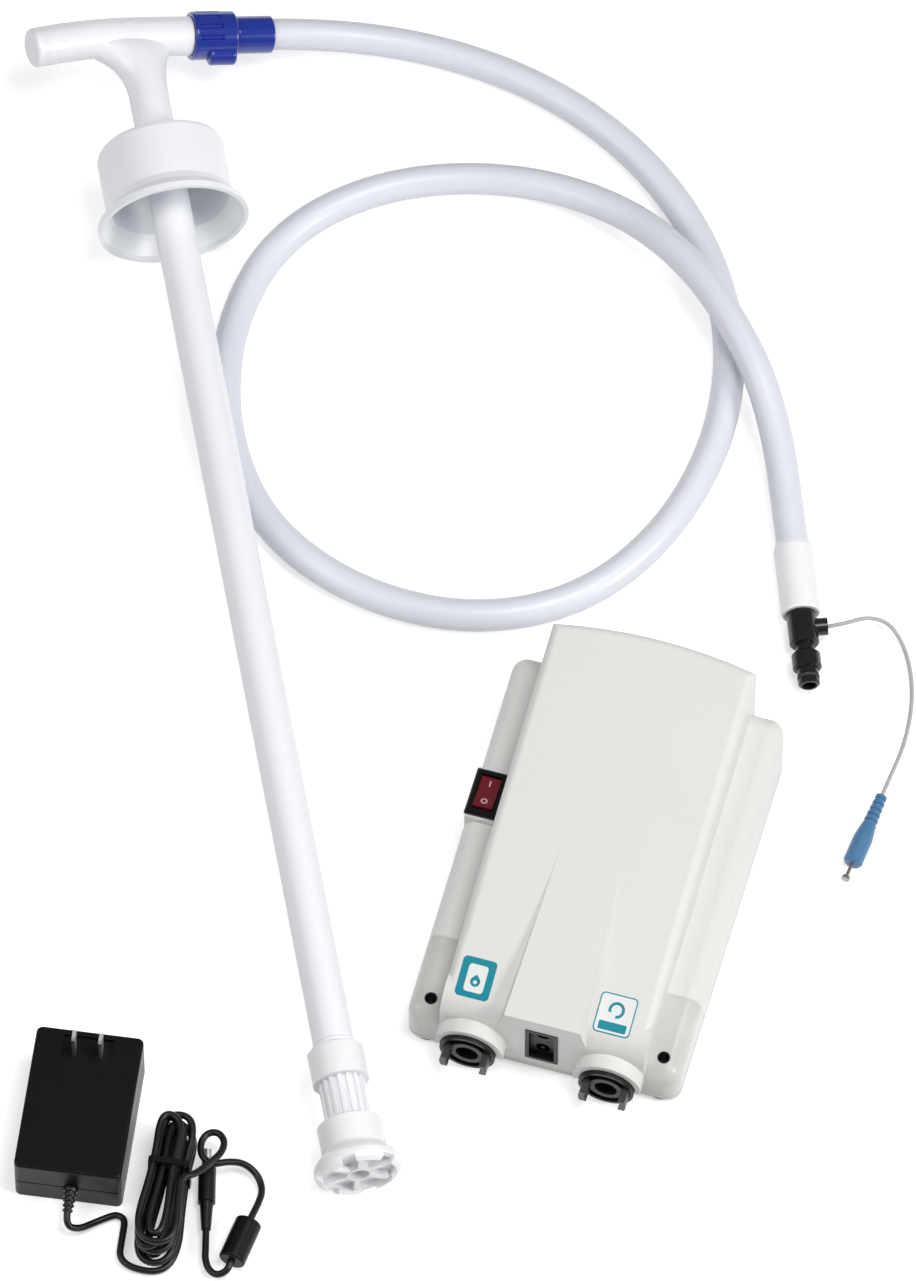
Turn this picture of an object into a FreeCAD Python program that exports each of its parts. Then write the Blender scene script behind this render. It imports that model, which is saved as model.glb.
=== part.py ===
import FreeCAD, Part
import math
import os

from FreeCAD import Placement, Rotation, Vector

# Bottled water pump system, millimetres, +Z up.
# A diaphragm pump in its housing, a suction wand with a bottle cap, the hose between them,
# the float lead and a wall adaptor with its tied cord, all laid out on one flat surface.
# The origin is on that surface, under the middle of the pump's base, and the ports face -Y.

# Pump base and feet
base_width = 134.0
base_length = 196.0
base_thickness = 3.8
base_corner_radius = 7.5
foot_height = 3.2
foot_radius = 9.5
mount_hole_radius = 2.5

# Upper housing: a sloping hood between two lower wings that slope with it
wall = 2.5
hood_width = 100.0
hood_back_height = 75.0
hood_front_height = 48.0
hood_back_bulge = 5.0
hood_edge_radius = 4.0
wing_front_height = 25.0
wing_back_height = 45.0
wing_back_setback = 4.0
lobe_start_y = -10.0
lobe_knee_setback = 12.0
lobe_knee_drop = 6.0
lobe_front_height = 31.5
centre_half_width = 18.5
centre_lean = 0.25
boss_radius = 4.0
boss_height = 38.0
boss_x = hood_width / 2 - 5.5
boss_front_y = -base_length / 2 + 58.0
boss_back_y = base_length / 2 - 20.0

# The feet and the mounting holes lie a little outside the middle of the wings
foot_inset = (base_width - hood_width) / 2 * 10 / 17
foot_centre_x = base_width / 2 - foot_inset
foot_centre_y = base_length / 2 - foot_inset
mount_hole_y = -foot_centre_y

# Translucent corner pads with the mounting holes
pad_length = 42.0
pad_wall = 2.0
pad_boss_radius = 5.5

# Screws from below
screw_radius = 1.5
screw_head_radius = 3.0
screw_head_height = 2.0
screw_length = 20.0

# Ports and their slide clips
port_x = 34.0
port_z = 17.0
port_collar_radius = 13.5
port_collar_length = 9.0
port_ring_inner_radius = 11.9
port_sleeve_radius = 8.4
port_bore_radius = 5.5
port_bore_depth = 22.0
port_body_radius = 10.0
port_body_length = 20.0
port_pocket_depth = 6.5
brow_thickness = 3.4
brow_length = 7.0
brow_drop = 1.0
clip_ring_thickness = 2.4
clip_leg_width = 3.0
clip_leg_height = 8.0
clip_leg_reach = 7.0
clip_gap = 0.3
tail_radius = 3.2
tail_length = 6.0
tail_bore_radius = 2.2

# Power socket in the middle of the front
socket_width = 16.0
socket_height = 27.6
socket_bottom = 11.4
socket_depth = 18.0
socket_pocket_depth = 3.0
socket_frame = 1.8
jack_radius = 3.6
jack_pin_radius = 1.0
jack_depth = 9.0

# Rocker switch on the left wing
switch_x = 7.35 - base_width / 2
switch_y = 17.5
bezel_width = 16.0
bezel_length = 24.8
bezel_height = 2.5
bezel_edge = 2.9
switch_body_depth = 15.0
switch_cavity_depth = 8.5
switch_wall = 0.9
rocker_gap = 0.3
rocker_tilt = 8.0
rocker_crown = 2.2
rocker_skirt = 3.0
terminal_length = 5.0
platform_wall = 1.35

# Diaphragm pump: motor, drive and head on one axis along Y
axis_z = 29.0
motor_radius = 18.0
motor_wall = 1.5
pump_setback = 110.0
motor_front_y = pump_setback - base_length / 2
motor_length = 60.0
end_bell_length = 8.0
shaft_radius = 2.5
shaft_front_y = motor_front_y - 25.0
bearing_radius = 6.5
bearing_width = 5.0
running_gap = 0.3
seat_gap = 0.05
armature_radius = 11.5
armature_length = 36.0
commutator_radius = 6.0
commutator_length = 8.0
magnet_thickness = 3.5
magnet_gap = 0.8
drive_side = 42.0
drive_front_y = motor_front_y - 36.0
drive_bore_radius = 17.5
wobble_angle = 6.0
wobble_centre_y = motor_front_y - 17.0
cam_radius = 7.0
cam_length = 12.0
wobble_bearing_radius = 10.5
wobble_bearing_width = 6.0
wobble_plate_radius = 16.0
wobble_plate_thickness = 4.0
piston_radius = 3.6
piston_circle = 11.0
piston_end_gap = 0.35
diaphragm_thickness = 2.0
convolution_depth = 0.9
convolution_inner_radius = 4.6
convolution_outer_radius = 6.0
valve_plate_thickness = 6.0
valve_hole_radius = 1.6
valve_spacing = 6.5
head_length = 18.0
head_wall = 3.0
head_barb_length = 7.0
head_barb_drop = 7.0
head_barb_y_share = 0.5
head_screw_radius = 1.6
head_screw_offset = 17.6
head_screw_head_radius = 3.0
head_screw_head_height = 2.0
head_bore_depth = 12.0
head_pocket_half = 13.5
head_rib_half = 1.2
bracket_thickness = 1.2
bracket_width = 40.0
bracket_length = 58.0
bracket_gap = 1.0
mount_radius = 5.0
mount_waist = 1.2
mount_inset = 6.0
mount_height = 2.4
mount_offset_x = 14.0
cradle_thickness = 3.0
cradle_inset = 8.0
cradle_half_width = 12.0
cradle_drop = 10.0
pressure_switch_size = (11.0, 12.0, 13.0)
board_size = (22.0, 60.0, 1.6)
board_corner = (23.0, motor_front_y - 34.0)
board_standoff = 3.0
internal_tube_radius = 4.8
tube_lead = 12.0
tube_bend = 14.0
tube_rise = 3.0
tube_gap = 0.2

# Suction wand: the foot's lower face centre, the lean of the tube and the roll of the handle
wand_foot_x = -63.7
wand_foot_y = -185.6
wand_foot_z = 21.0
wand_heading = 26.2
wand_slope = 1.76
handle_roll = 15.0
tube_radius = 9.85
tube_bore_radius = 7.9
strainer_radius = 21.0
strainer_length = 13.0
strainer_slots = 6
strainer_slot_width = 7.0
strainer_slot_depth = 3.0
strainer_recess_depth = 5.0
stem_radius = 11.0
stem_core_radius = 9.6
stem_ribs = 16
stem_rib_width = 1.6
stem_bore_radius = 5.0
float_radius = 15.6
float_length = 14.5
float_gap = 0.4
float_travel = 21.5
foot_collar_radius = 13.5
foot_collar_length = 17.0
reed_radius = 2.0
reed_length = 24.0
tube_ring_height = 0.7
tube_ring_width = 1.6
cap_rim_station = 518.0
cap_length = 42.0
cap_radius = 31.2
cap_rim_radius = 36.9
cap_flare_length = 8.0
cap_wall = 2.2
cap_edge_radius = 3.0
grommet_radius = 14.0
grommet_groove_radius = 12.2
grommet_length = 6.0
grommet_gap = 0.3
tube_top_station = 567.0
bar_station = 624.0
neck_radius = 9.85
spigot_length = 20.0
bar_radius = 9.7
arm_length = 50.0
arm_droop = 4.5
arm_bore_radius = 7.0
water_bore_radius = 5.2
shoulder_reach = 26.5
bar_spigot_radius = 8.0
bar_spigot_length = 20.0
end_cap_length = 5.0
end_cap_plug_length = 6.0
nut_radius = 12.0
nut_length = 22.0
nut_lobe_radius = 5.2
nut_lobe_offset = 11.0
nut_flutes = 12
nut_flute_radius = 1.2
nut_gap = 0.3
barb_radius = 9.3
barb_length = 19.0
barb_flange_length = 1.6

# Hose from the wand to its quick fitting
hose_diameter = 15.6
cuff_radius = 9.5
cuff_length = 38.0
cuff_gap = 0.2
fitting_body_radius = 7.2
fitting_body_length = 17.0
fitting_neck_radius = 4.6
fitting_neck_length = 4.5
fitting_collar_radius = 7.0
fitting_collar_length = 9.0
nose_clearance = 0.25
nose_length = 8.5
fitting_bore_radius = 3.5
boss_offset = 7.5
lead_boss_radius = 4.3
lead_boss_reach = 12.0
lead_boss_bore = 1.6
seal_groove_depth = 1.0

# The first point lies at the blue barb's end face, and the last at the quick fitting.
hose_route = [
    (-280.278, 403.557, 22.545), (-253.53, 416.99, 14.53), (-199.6, 426.6, 8.3), (-143.5, 419.7, 7.8),
    (-91.4, 396.8, 7.8), (-48.4, 359.6, 7.8), (-19.2, 311.2, 7.8), (-9.2, 253.8, 7.8),
    (-19.7, 195.8, 7.8), (-49.2, 148.1, 7.8), (-98.0, 122.3, 7.8), (-156.3, 121.9, 7.8),
    (-209.2, 145.5, 7.8), (-243.2, 192.7, 7.8), (-256.2, 250.5, 7.8), (-245.8, 305.5, 7.8),
    (-206.7, 345.6, 7.8), (-150.7, 366.0, 8.2), (-94.0, 362.2, 14.0), (-46.3, 333.9, 27.2),
    (-6.7, 294.3, 27.0), (15.5, 262.5, 16.0), (35.6, 215.3, 9.8), (53.8, 168.7, 9.6),
]

# Thin lead that leaves the quick fitting and ends in the blue plug
lead_diameter = 2.0
lead_route = [
    (67.9, 165.9, 9.6), (75.5, 169.4, 10.4), (84.6, 176.6, 9.0), (94.6, 178.8, 5.0),
    (103.4, 172.0, 2.0), (110.6, 160.2, 1.2), (115.6, 146.4, 1.1), (118.3, 131.4, 1.1),
    (119.0, 115.6, 1.8), (117.7, 99.1, 4.5), (116.4, 86.2, 4.6),
]
lead_plug_end = (112.4, 47.1, 4.8)
lead_plug_start_radius = 2.8
lead_plug_end_radius = 4.7
lead_plug_rings = 5
lead_pin_radius = 0.9
lead_pin_length = 9.0
lead_pin_ring_radius = 2.1
lead_pin_ring_length = 1.6

# Wall adaptor, its blades and strain relief
adaptor_centre = (-200.3, -187.8)
adaptor_turn = 8.0
adaptor_width = 51.0
adaptor_length = 75.0
adaptor_height = 29.0
adaptor_corner_radius = 3.0
adaptor_draft_step = 1.2
adaptor_wall = 2.5
adaptor_seam_height = 13.0
adaptor_seam_depth = 0.6
blade_spacing = 12.7
blade_width = 6.4
blade_thickness = 1.5
blade_length = 16.0
blade_y = 28.0
blade_recess = (24.0, 13.0, 1.6)
relief_z = 12.0
relief_x = 1.5
relief_root_radius = 3.6
relief_tip_radius = 2.4
relief_length = 11.0
relief_rings = 4
relief_droop = 0.22

# Adaptor cord in two free stretches with a tied hank between them
cord_diameter = 3.4
cord_gap = 0.5
hank_centre = (-151.5, -203.5)
hank_turn = 6.4
hank_top = 28.0
hank_bottom = -43.5
hank_slots = 2
hank_layers = 6
hank_rest_z = 2.6
hank_waist_inner = 2.15
hank_waist_pitch = 4.2
hank_top_inner = 3.9
hank_pitch = 4.3
hank_bottom_inner = 4.8
hank_bottom_pitch = 5.8
hank_stagger = 0.5
hank_ragged = 1.8
hank_entry = (-17.0, -30.0)
hank_exit_y = -13.5
tie_thickness = 0.7
tie_width = 3.0
tie_gap = 0.15
tie_side_gap = 0.8
supply_route_middle = [
    (-185.6, -240.4, 4.2), (-178.6, -232.9, 2.0), (-171.8, -227.2, 2.0), (-168.3, -227.3, 2.3),
]
plug_route_middle = [
    (-139.8, -205.6, 19.8), (-137.0, -200.6, 16.8), (-133.4, -193.6, 15.2), (-130.6, -187.0, 13.6),
    (-131.2, -180.4, 12.4), (-135.6, -176.6, 11.8), (-140.6, -178.4, 11.4), (-142.2, -184.0, 11.2),
    (-140.0, -190.4, 11.0), (-134.2, -193.6, 10.6), (-127.6, -189.0, 9.0), (-120.4, -186.2, 6.2),
    (-113.0, -188.8, 3.6), (-108.2, -195.8, 2.8), (-107.9, -204.6, 5.4),
]
ferrite_start = (-109.0, -213.6, 6.6)
ferrite_end = (-111.6, -239.4, 6.6)
ferrite_radius = 6.4
ferrite_edge = 1.2
ferrite_gap = 0.3
turn_route_middle = [
    (-112.2, -242.8, 5.6), (-116.4, -245.6, 4.2), (-121.0, -243.4, 4.1), (-123.9, -238.6, 4.2),
]
plug_start = (-127.8, -223.9, 4.3)
plug_direction_turn = 15.4
plug_relief_length = 14.0
plug_relief_tip_radius = 2.3
plug_relief_root_radius = 3.3
plug_body_radius = 4.2
plug_body_length = 19.0
barrel_radius = 2.75
barrel_length = 8.5
barrel_bore_radius = 1.05

X = Vector(1, 0, 0)
Y = Vector(0, 1, 0)
Z = Vector(0, 0, 1)
nodes = {}


def cylinder(radius, length, start, direction):
    return Part.makeCylinder(radius, length, Vector(*start), Vector(*direction))


def cone(radius_a, radius_b, length, start, direction):
    return Part.makeCone(radius_a, radius_b, length, Vector(*start), Vector(*direction))


def box(low, high):
    size = [b - a for a, b in zip(low, high)]
    return Part.makeBox(size[0], size[1], size[2], Vector(*low))


def rounded_block(low, high, radius):
    """A box whose four upright edges are rounded."""
    block = box(low, high)
    upright = [e for e in block.Edges if abs(e.Vertexes[0].Z - e.Vertexes[1].Z) > 1e-6]
    return block.makeFillet(radius, upright)


def closed_face(edges):
    return Part.Face(Part.Wire(edges))


def line(a, b):
    return Part.LineSegment(Vector(*a), Vector(*b)).toShape()


def arc(a, through, b):
    return Part.Arc(Vector(*a), Vector(*through), Vector(*b)).toShape()


def polygon_face(points):
    return Part.Face(Part.makePolygon([Vector(*p) for p in points] + [Vector(*points[0])]))


def turned(profile, start=(0, 0, 0), direction=Z):
    """A solid of revolution from (radius, height) points, standing along a direction."""
    face = polygon_face([(radius, 0, height) for radius, height in profile])
    solid = face.revolve(Vector(0, 0, 0), Z, 360)
    solid.Placement = Placement(Vector(*start), Rotation(Z, Vector(*direction)))
    return solid


def moved(shape, placement):
    copy = shape.copy()
    copy.Placement = placement.multiply(copy.Placement)
    return copy


def write_node(name, *solids):
    nodes[name] = Part.makeCompound(list(solids)) if len(solids) > 1 else solids[0]
    nodes[name].exportStep("parts/" + name + ".step")


def path_through(points):
    """Straight runs joined by tangent arcs, with the arcs' radii."""
    corners = [Vector(*p) for p in points]
    edges, radii = [], []
    here = corners[0]
    for before, corner, after in zip(corners, corners[1:], corners[2:]):
        back, ahead = before - corner, after - corner
        cut = 0.45 * min(back.Length, ahead.Length)
        half_turn = (math.pi - back.getAngle(ahead)) / 2
        radius = cut / math.tan(half_turn)
        back.normalize()
        ahead.normalize()
        first, last = corner + back * cut, corner + ahead * cut
        inward = (back + ahead).normalize()
        middle = corner + inward * (radius / math.cos(half_turn) - radius)
        edges += [Part.LineSegment(here, first).toShape(), Part.Arc(first, middle, last).toShape()]
        radii.append(radius)
        here = last
    edges.append(Part.LineSegment(here, corners[-1]).toShape())
    return Part.Wire(edges), radii


def routed_tube(name, points, diameter):
    """A solid tube along a route; prints its length, tightest radii and volume check."""
    path, radii = path_through(points)
    start, ahead = Vector(*points[0]), Vector(*points[1]) - Vector(*points[0])
    section = Part.Wire(Part.makeCircle(diameter / 2, start, ahead))
    tube = path.makePipeShell([section], True, False)
    share = tube.Volume / (math.pi * diameter ** 2 / 4 * path.Length)
    print(f"{name}: length {path.Length:.0f}, radii {min(radii):.1f} to {max(radii):.0f},"
          f" volume share {share:.4f}, valid {tube.isValid()}")
    print("  radii in diameters:", " ".join(f"{r / diameter:.1f}" for r in radii))
    return tube


def hood_top(y):
    """Height of the hood's sloping top, before its side lobes dip."""
    share = (y + base_length / 2) / base_length
    return hood_front_height + (hood_back_height - hood_front_height) * share


def hood_slab(inset, low_z, lobes):
    """The hood's side view, extruded across its width; the lobed one dips to the ports."""
    half, front = hood_width / 2 - inset, -base_length / 2 + inset
    back = base_length / 2 + hood_back_bulge
    lobe_knee_y = lobe_knee_setback - base_length / 2
    knee_top = hood_top(lobe_knee_y) - lobe_knee_drop - inset
    edges = [line((-half, front, low_z), (-half, back, low_z)),
             line((-half, back, low_z), (-half, back, hood_top(back) - inset))]
    if lobes:
        start = (-half, lobe_start_y, hood_top(lobe_start_y) - inset)
        middle_y = (lobe_start_y + lobe_knee_y) / 2
        middle = (-half, middle_y, hood_top(middle_y) - 0.28 * lobe_knee_drop - inset)
        knee = (-half, lobe_knee_y, knee_top)
        tip = (-half, front, lobe_front_height - inset)
        bend = (-half, front + 3.4, (knee_top + lobe_front_height - inset) / 2 + 2.2)
        edges += [line((-half, back, hood_top(back) - inset), start), arc(start, middle, knee),
                  arc(knee, bend, tip), line(tip, (-half, front, low_z))]
    else:
        corner = (-half, front, hood_top(front) - inset)
        edges += [line((-half, back, hood_top(back) - inset), corner),
                  line(corner, (-half, front, low_z))]
    return closed_face(edges).extrude(X * (2 * half))


def hood_plan(inset, low_z):
    """The hood's outline from above: straight sides and front, bulged back."""
    half, front = hood_width / 2 - inset, -base_length / 2 + inset
    back, peak = base_length / 2 - inset, base_length / 2 + hood_back_bulge - inset
    edges = [line((-half, front, low_z), (half, front, low_z)),
             line((half, front, low_z), (half, back, low_z)),
             arc((half, back, low_z), (0, peak, low_z), (-half, back, low_z)),
             line((-half, back, low_z), (-half, front, low_z))]
    return closed_face(edges).extrude(Z * (hood_back_height + 10))


def centre_wedge(inset, low_z):
    """The raised middle of the hood, its two flanks leaning outwards below."""
    front, back = -base_length / 2 + inset, lobe_start_y + 4
    half = centre_half_width - inset
    low_half = half + centre_lean * (hood_front_height - low_z)
    top_half = half - centre_lean * (hood_back_height - hood_front_height)
    section = polygon_face([(-low_half, front, low_z), (low_half, front, low_z),
                            (top_half, front, hood_back_height),
                            (-top_half, front, hood_back_height)])
    return section.extrude(Y * (back - front)).common(hood_slab(inset, low_z, False))


def hood_form(inset, low_z, rounded):
    lobed = hood_slab(inset, low_z, True).common(hood_plan(inset, low_z))
    if rounded:
        sides = [e for e in lobed.Edges if e.CenterOfMass.z > hood_front_height - 4
                 and abs(abs(e.CenterOfMass.x) - hood_width / 2) < 0.01]
        ends = [e for e in lobed.Edges
                if e.CenterOfMass.z > hood_back_height - 3 and e.CenterOfMass.y > base_length / 2]
        lobed = lobed.makeFillet(hood_edge_radius, sides + ends)
    return lobed.fuse(centre_wedge(inset, low_z)).removeSplitter()


def wing_top(y):
    """Height of the wings' sloping top."""
    share = (y + base_length / 2) / base_length
    return wing_front_height + (wing_back_height - wing_front_height) * share


def base_plan(inset, low_z, height):
    """The base's outline from above as a plain block."""
    half = base_width / 2 - inset
    front, back = -base_length / 2 + inset, base_length / 2 - wing_back_setback - inset
    return box((-half, front, low_z), (half, back, low_z + height))


def wing_form(inset, low_z):
    """Both wings as one slab with a sloping top, its rim and upright corners rounded alike."""
    reach = base_length
    side = polygon_face([(-reach, -reach, low_z), (-reach, reach, low_z),
                         (-reach, reach, wing_top(reach) - inset),
                         (-reach, -reach, wing_top(-reach) - inset)])
    block = base_plan(inset, low_z, 2 * wing_back_height).common(side.extrude(X * (2 * reach)))
    edges = [e for e in block.Edges if e.CenterOfMass.z > low_z + 1]
    return block.makeFillet(base_corner_radius - inset, edges)


def switch_seat():
    """The level seat of the rocker switch, just clear of the wing's slope."""
    return wing_top(switch_y + bezel_length / 2) + 0.4


def switch_platform(inset):
    """Square seat for the rocker switch, raised out of the left wing."""
    grow = 0.35 - inset
    block = box((switch_x - bezel_width / 2 - grow, switch_y - bezel_length / 2 - 1 - grow,
                 foot_height + base_thickness),
                (switch_x + bezel_width / 2 + grow, switch_y + bezel_length / 2 + 1 + grow,
                 switch_seat() - inset))
    return block.common(base_plan(inset, foot_height, 2 * wing_back_height))


def pad_space(margin):
    """The two front corners that the pads fill, drawn in by a margin beside the hood."""
    low_z, front = foot_height + base_thickness, -base_length / 2
    near, far = hood_width / 2 + margin, base_width / 2 + 1
    return [box((low_x, front - 1, low_z - 1), (high_x, front + pad_length - margin, 60))
            for low_x, high_x in ((near, far), (-far, -near))]


def make_upper_housing():
    low_z = foot_height + base_thickness
    hood = hood_form(0, low_z, True)
    outer = hood.fuse(wing_form(0, low_z)).fuse(switch_platform(0))
    inner = hood_form(wall, low_z - 1, False).fuse(wing_form(wall, low_z - 1))
    shell = outer.cut(inner.fuse(switch_platform(platform_wall)))
    for space in pad_space(0):
        shell = shell.cut(space)
    front = -base_length / 2
    half_hood, seam = hood_width / 2, front + pad_length
    webs = [box((side * half_hood - (wall if side > 0 else 0), front, low_z),
                (side * half_hood + (0 if side > 0 else wall), seam + wall, wing_top(seam) + 1))
            for side in (1, -1)]
    far = base_width / 2
    ends = [box((half_hood - wall, seam, low_z), (far, seam + wall, wing_back_height)),
            box((-far, seam, low_z), (-half_hood + wall, seam + wall, wing_back_height))]
    wing_solid = wing_form(0, low_z)
    for web, end in zip(webs, ends):
        shell = shell.fuse(web.common(hood)).fuse(end.common(wing_solid))
    for x in (-port_x, port_x):
        brow = cylinder(port_collar_radius + brow_thickness, brow_length + wall,
                        (x, front - brow_length, port_z), (0, 1, 0))
        brow = brow.common(box((-hood_width / 2, front - brow_length, port_z - brow_drop),
                               (hood_width / 2, front + wall, 60)))
        shell = shell.fuse(brow)
        shell = shell.cut(cylinder(port_collar_radius + clip_gap, brow_length + 1,
                                   (x, front - brow_length - 1, port_z), (0, 1, 0)))
        shell = shell.cut(cylinder(port_body_radius + seat_gap, 3 * wall,
                                   (x, front - 1, port_z), (0, 1, 0)))
    shell = shell.cut(box((-socket_width / 2, front - 1, socket_bottom),
                          (socket_width / 2, front + wall + 1, socket_bottom + socket_height)))
    for x in (-boss_x, boss_x):
        for y in (boss_front_y, boss_back_y):
            shell = shell.fuse(cylinder(boss_radius, boss_height, (x, y, low_z), (0, 0, 1)))
            shell = shell.cut(cylinder(screw_radius, screw_length, (x, y, low_z), (0, 0, 1)))
    body_x, body_y = bezel_width / 2 - bezel_edge + switch_wall, bezel_length / 2 - bezel_edge
    body_y += switch_wall
    shell = shell.cut(box((switch_x - body_x, switch_y - body_y, switch_seat() - 8),
                          (switch_x + body_x, switch_y + body_y, switch_seat() + 6)))
    return shell.removeSplitter()


def make_base_plate():
    top = foot_height + base_thickness
    plate = rounded_block((-base_width / 2, -base_length / 2, foot_height),
                          (base_width / 2, base_length / 2 - wing_back_setback, top),
                          base_corner_radius)
    for x in (-foot_centre_x, foot_centre_x):
        plate = plate.cut(cylinder(mount_hole_radius, 20, (x, mount_hole_y, -1), (0, 0, 1)))
    for x in (-boss_x, boss_x):
        for y in (boss_front_y, boss_back_y):
            plate = plate.cut(cylinder(screw_radius, 20, (x, y, -1), (0, 0, 1)))
            plate = plate.cut(cylinder(screw_head_radius, screw_head_height,
                                       (x, y, foot_height), (0, 0, 1)))
    for x in (board_corner[0] + 4, board_corner[0] + board_size[0] - 4):
        for y in (board_corner[1] + 5, board_corner[1] + board_size[1] - 5):
            plate = plate.fuse(cylinder(2.5, board_standoff, (x, y, top), (0, 0, 1)))
    return plate


def make_mounting_pads():
    """Corner shells that carry on the wings' form, each with a bossed mounting hole."""
    low_z = foot_height + base_thickness
    wings, hollow = wing_form(0, low_z), wing_form(pad_wall, low_z - 1)
    pads = []
    for side, space, core in zip((1, -1), pad_space(0), pad_space(pad_wall)):
        block = wings.common(space)
        shell = block.cut(hollow.common(core))
        x = side * foot_centre_x
        boss = cylinder(pad_boss_radius, wing_front_height, (x, mount_hole_y, low_z), (0, 0, 1))
        shell = shell.fuse(boss.common(block))
        pads.append(shell.cut(cylinder(mount_hole_radius, 60, (x, mount_hole_y, 0), (0, 0, 1))))
    return pads


def make_rubber_feet():
    feet = []
    profile = [(0, 0), (foot_radius - 1.2, 0), (foot_radius, 1.2), (foot_radius, foot_height),
               (0, foot_height)]
    for x in (-foot_centre_x, foot_centre_x):
        front = turned(profile, (x, mount_hole_y, 0))
        feet.append(front.cut(cylinder(mount_hole_radius + 0.5, 10, (x, mount_hole_y, -1), (0, 0, 1))))
        feet.append(turned(profile, (x, foot_centre_y - wing_back_setback, 0)))
    return feet


def make_housing_screws():
    screws = []
    for x in (-boss_x, boss_x):
        for y in (boss_front_y, boss_back_y):
            head = cylinder(screw_head_radius, screw_head_height, (x, y, foot_height), (0, 0, 1))
            shank = cylinder(screw_radius, screw_length - 1, (x, y, foot_height), (0, 0, 1))
            slot = box((x - 0.4, y - screw_head_radius, foot_height - 1),
                       (x + 0.4, y + screw_head_radius, foot_height + 0.8))
            screws.append(head.fuse(shank).cut(slot))
    return screws


def make_port(x):
    """Collar outside, clip pocket, bored sleeve, and a tail for the internal tube."""
    front = -base_length / 2
    face = front - port_collar_length
    port = cylinder(port_collar_radius, port_collar_length, (x, face, port_z), (0, 1, 0))
    port = port.fuse(cylinder(port_body_radius, port_body_length, (x, front, port_z), (0, 1, 0)))
    tail_y = front + port_body_length
    port = port.fuse(cylinder(tail_radius, tail_length, (x, tail_y, port_z), (0, 1, 0)))
    pocket = cylinder(port_ring_inner_radius, port_pocket_depth, (x, face, port_z), (0, 1, 0))
    pocket = pocket.cut(cylinder(port_sleeve_radius, port_pocket_depth, (x, face, port_z), (0, 1, 0)))
    port = port.cut(pocket)
    port = port.cut(cylinder(port_bore_radius, port_bore_depth, (x, face, port_z), (0, 1, 0)))
    return port.cut(cylinder(tail_bore_radius, 60, (x, face, port_z), (0, 1, 0)))


def make_clip(x):
    """A split ring in the port's pocket with two legs that stick out of the front."""
    face = -base_length / 2 - port_collar_length
    back = face + port_pocket_depth - clip_gap
    outer, inner = port_ring_inner_radius - clip_gap, port_sleeve_radius + clip_gap
    ring = cylinder(outer, clip_ring_thickness, (x, back - clip_ring_thickness, port_z), (0, 1, 0))
    ring = ring.cut(cylinder(inner, 20, (x, back - 10, port_z), (0, 1, 0)))
    ring = ring.cut(box((x - 4, back - 10, port_z - 20), (x + 4, back + 10, port_z)))
    reach = back - (face - clip_leg_reach)
    legs = cylinder(outer, reach, (x, face - clip_leg_reach, port_z), (0, 1, 0))
    legs = legs.cut(cylinder(inner, 60, (x, face - 30, port_z), (0, 1, 0)))
    band = box((x - 20, face - 40, port_z - clip_leg_height / 2),
               (x + 20, back + 5, port_z + clip_leg_height / 2))
    return ring.fuse(legs.common(band)).removeSplitter()


def make_power_socket():
    front = -base_length / 2
    half = socket_width / 2 - seat_gap
    low, high = socket_bottom + seat_gap, socket_bottom + socket_height - seat_gap
    block = box((-half, front - 0.4, low), (half, front + socket_depth, high))
    pocket = box((-half + socket_frame, front - 1, low + socket_frame),
                 (half - socket_frame, front + socket_pocket_depth, high - socket_frame))
    block = block.cut(pocket)
    for z in (low + socket_height * 0.27, high - socket_height * 0.27):
        block = block.cut(cylinder(jack_radius, jack_depth, (0, front, z), (0, 1, 0)))
        block = block.fuse(cylinder(jack_pin_radius, jack_depth - socket_pocket_depth,
                                    (0, front + socket_pocket_depth, z), (0, 1, 0)))
    return block


def make_switch_body():
    seat = switch_seat()
    top = seat + bezel_height
    half_x, half_y = bezel_width / 2, bezel_length / 2
    open_x, open_y = half_x - bezel_edge, half_y - bezel_edge
    bezel = box((switch_x - half_x, switch_y - half_y, seat), (switch_x + half_x, switch_y + half_y, top))
    rim = [e for e in bezel.Edges if e.CenterOfMass.z > top - 0.01]
    bezel = bezel.makeChamfer(0.9, rim)
    trunk = box((switch_x - open_x - switch_wall + seat_gap,
                 switch_y - open_y - switch_wall + seat_gap, seat - switch_body_depth),
                (switch_x + open_x + switch_wall - seat_gap,
                 switch_y + open_y + switch_wall - seat_gap, seat))
    cavity = box((switch_x - open_x, switch_y - open_y, top - switch_cavity_depth),
                 (switch_x + open_x, switch_y + open_y, top + 1))
    body = bezel.fuse(trunk).cut(cavity)
    for offset in (-6.0, 0.0, 6.0):
        body = body.fuse(box((switch_x - 2.4, switch_y + offset - 0.4,
                              seat - switch_body_depth - terminal_length),
                             (switch_x + 2.4, switch_y + offset + 0.4, seat - switch_body_depth)))
    return body


def make_switch_rocker():
    """Two shallow facets over a round belly, pressed down at its rear end at rest."""
    pivot_z = switch_seat() + bezel_height - 1.6
    half_x = bezel_width / 2 - bezel_edge - rocker_gap
    half_y = bezel_length / 2 - bezel_edge - 2 * rocker_gap
    x = switch_x - half_x
    points = [(x, -half_y, rocker_crown), (x, 0, rocker_crown - 1.3), (x, half_y, rocker_crown),
              (x, half_y, -0.8), (x, rocker_skirt, -rocker_skirt), (x, -rocker_skirt, -rocker_skirt),
              (x, -half_y, -0.8)]
    rocker = polygon_face(points).extrude(X * (2 * half_x))
    ends = [e for e in rocker.Edges if abs(abs(e.CenterOfMass.y) - half_y) < 0.01
            and e.CenterOfMass.z > rocker_crown - 0.01]
    rocker = rocker.makeFillet(0.7, ends)
    placed = Placement(Vector(0, switch_y, pivot_z), Rotation(X, -rocker_tilt))
    return moved(rocker, placed)


def ring_solid(outer, inner, y, length):
    tube = cylinder(outer, length, (0, y, axis_z), (0, 1, 0))
    return tube.cut(cylinder(inner, length + 2, (0, y - 1, axis_z), (0, 1, 0)))


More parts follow.
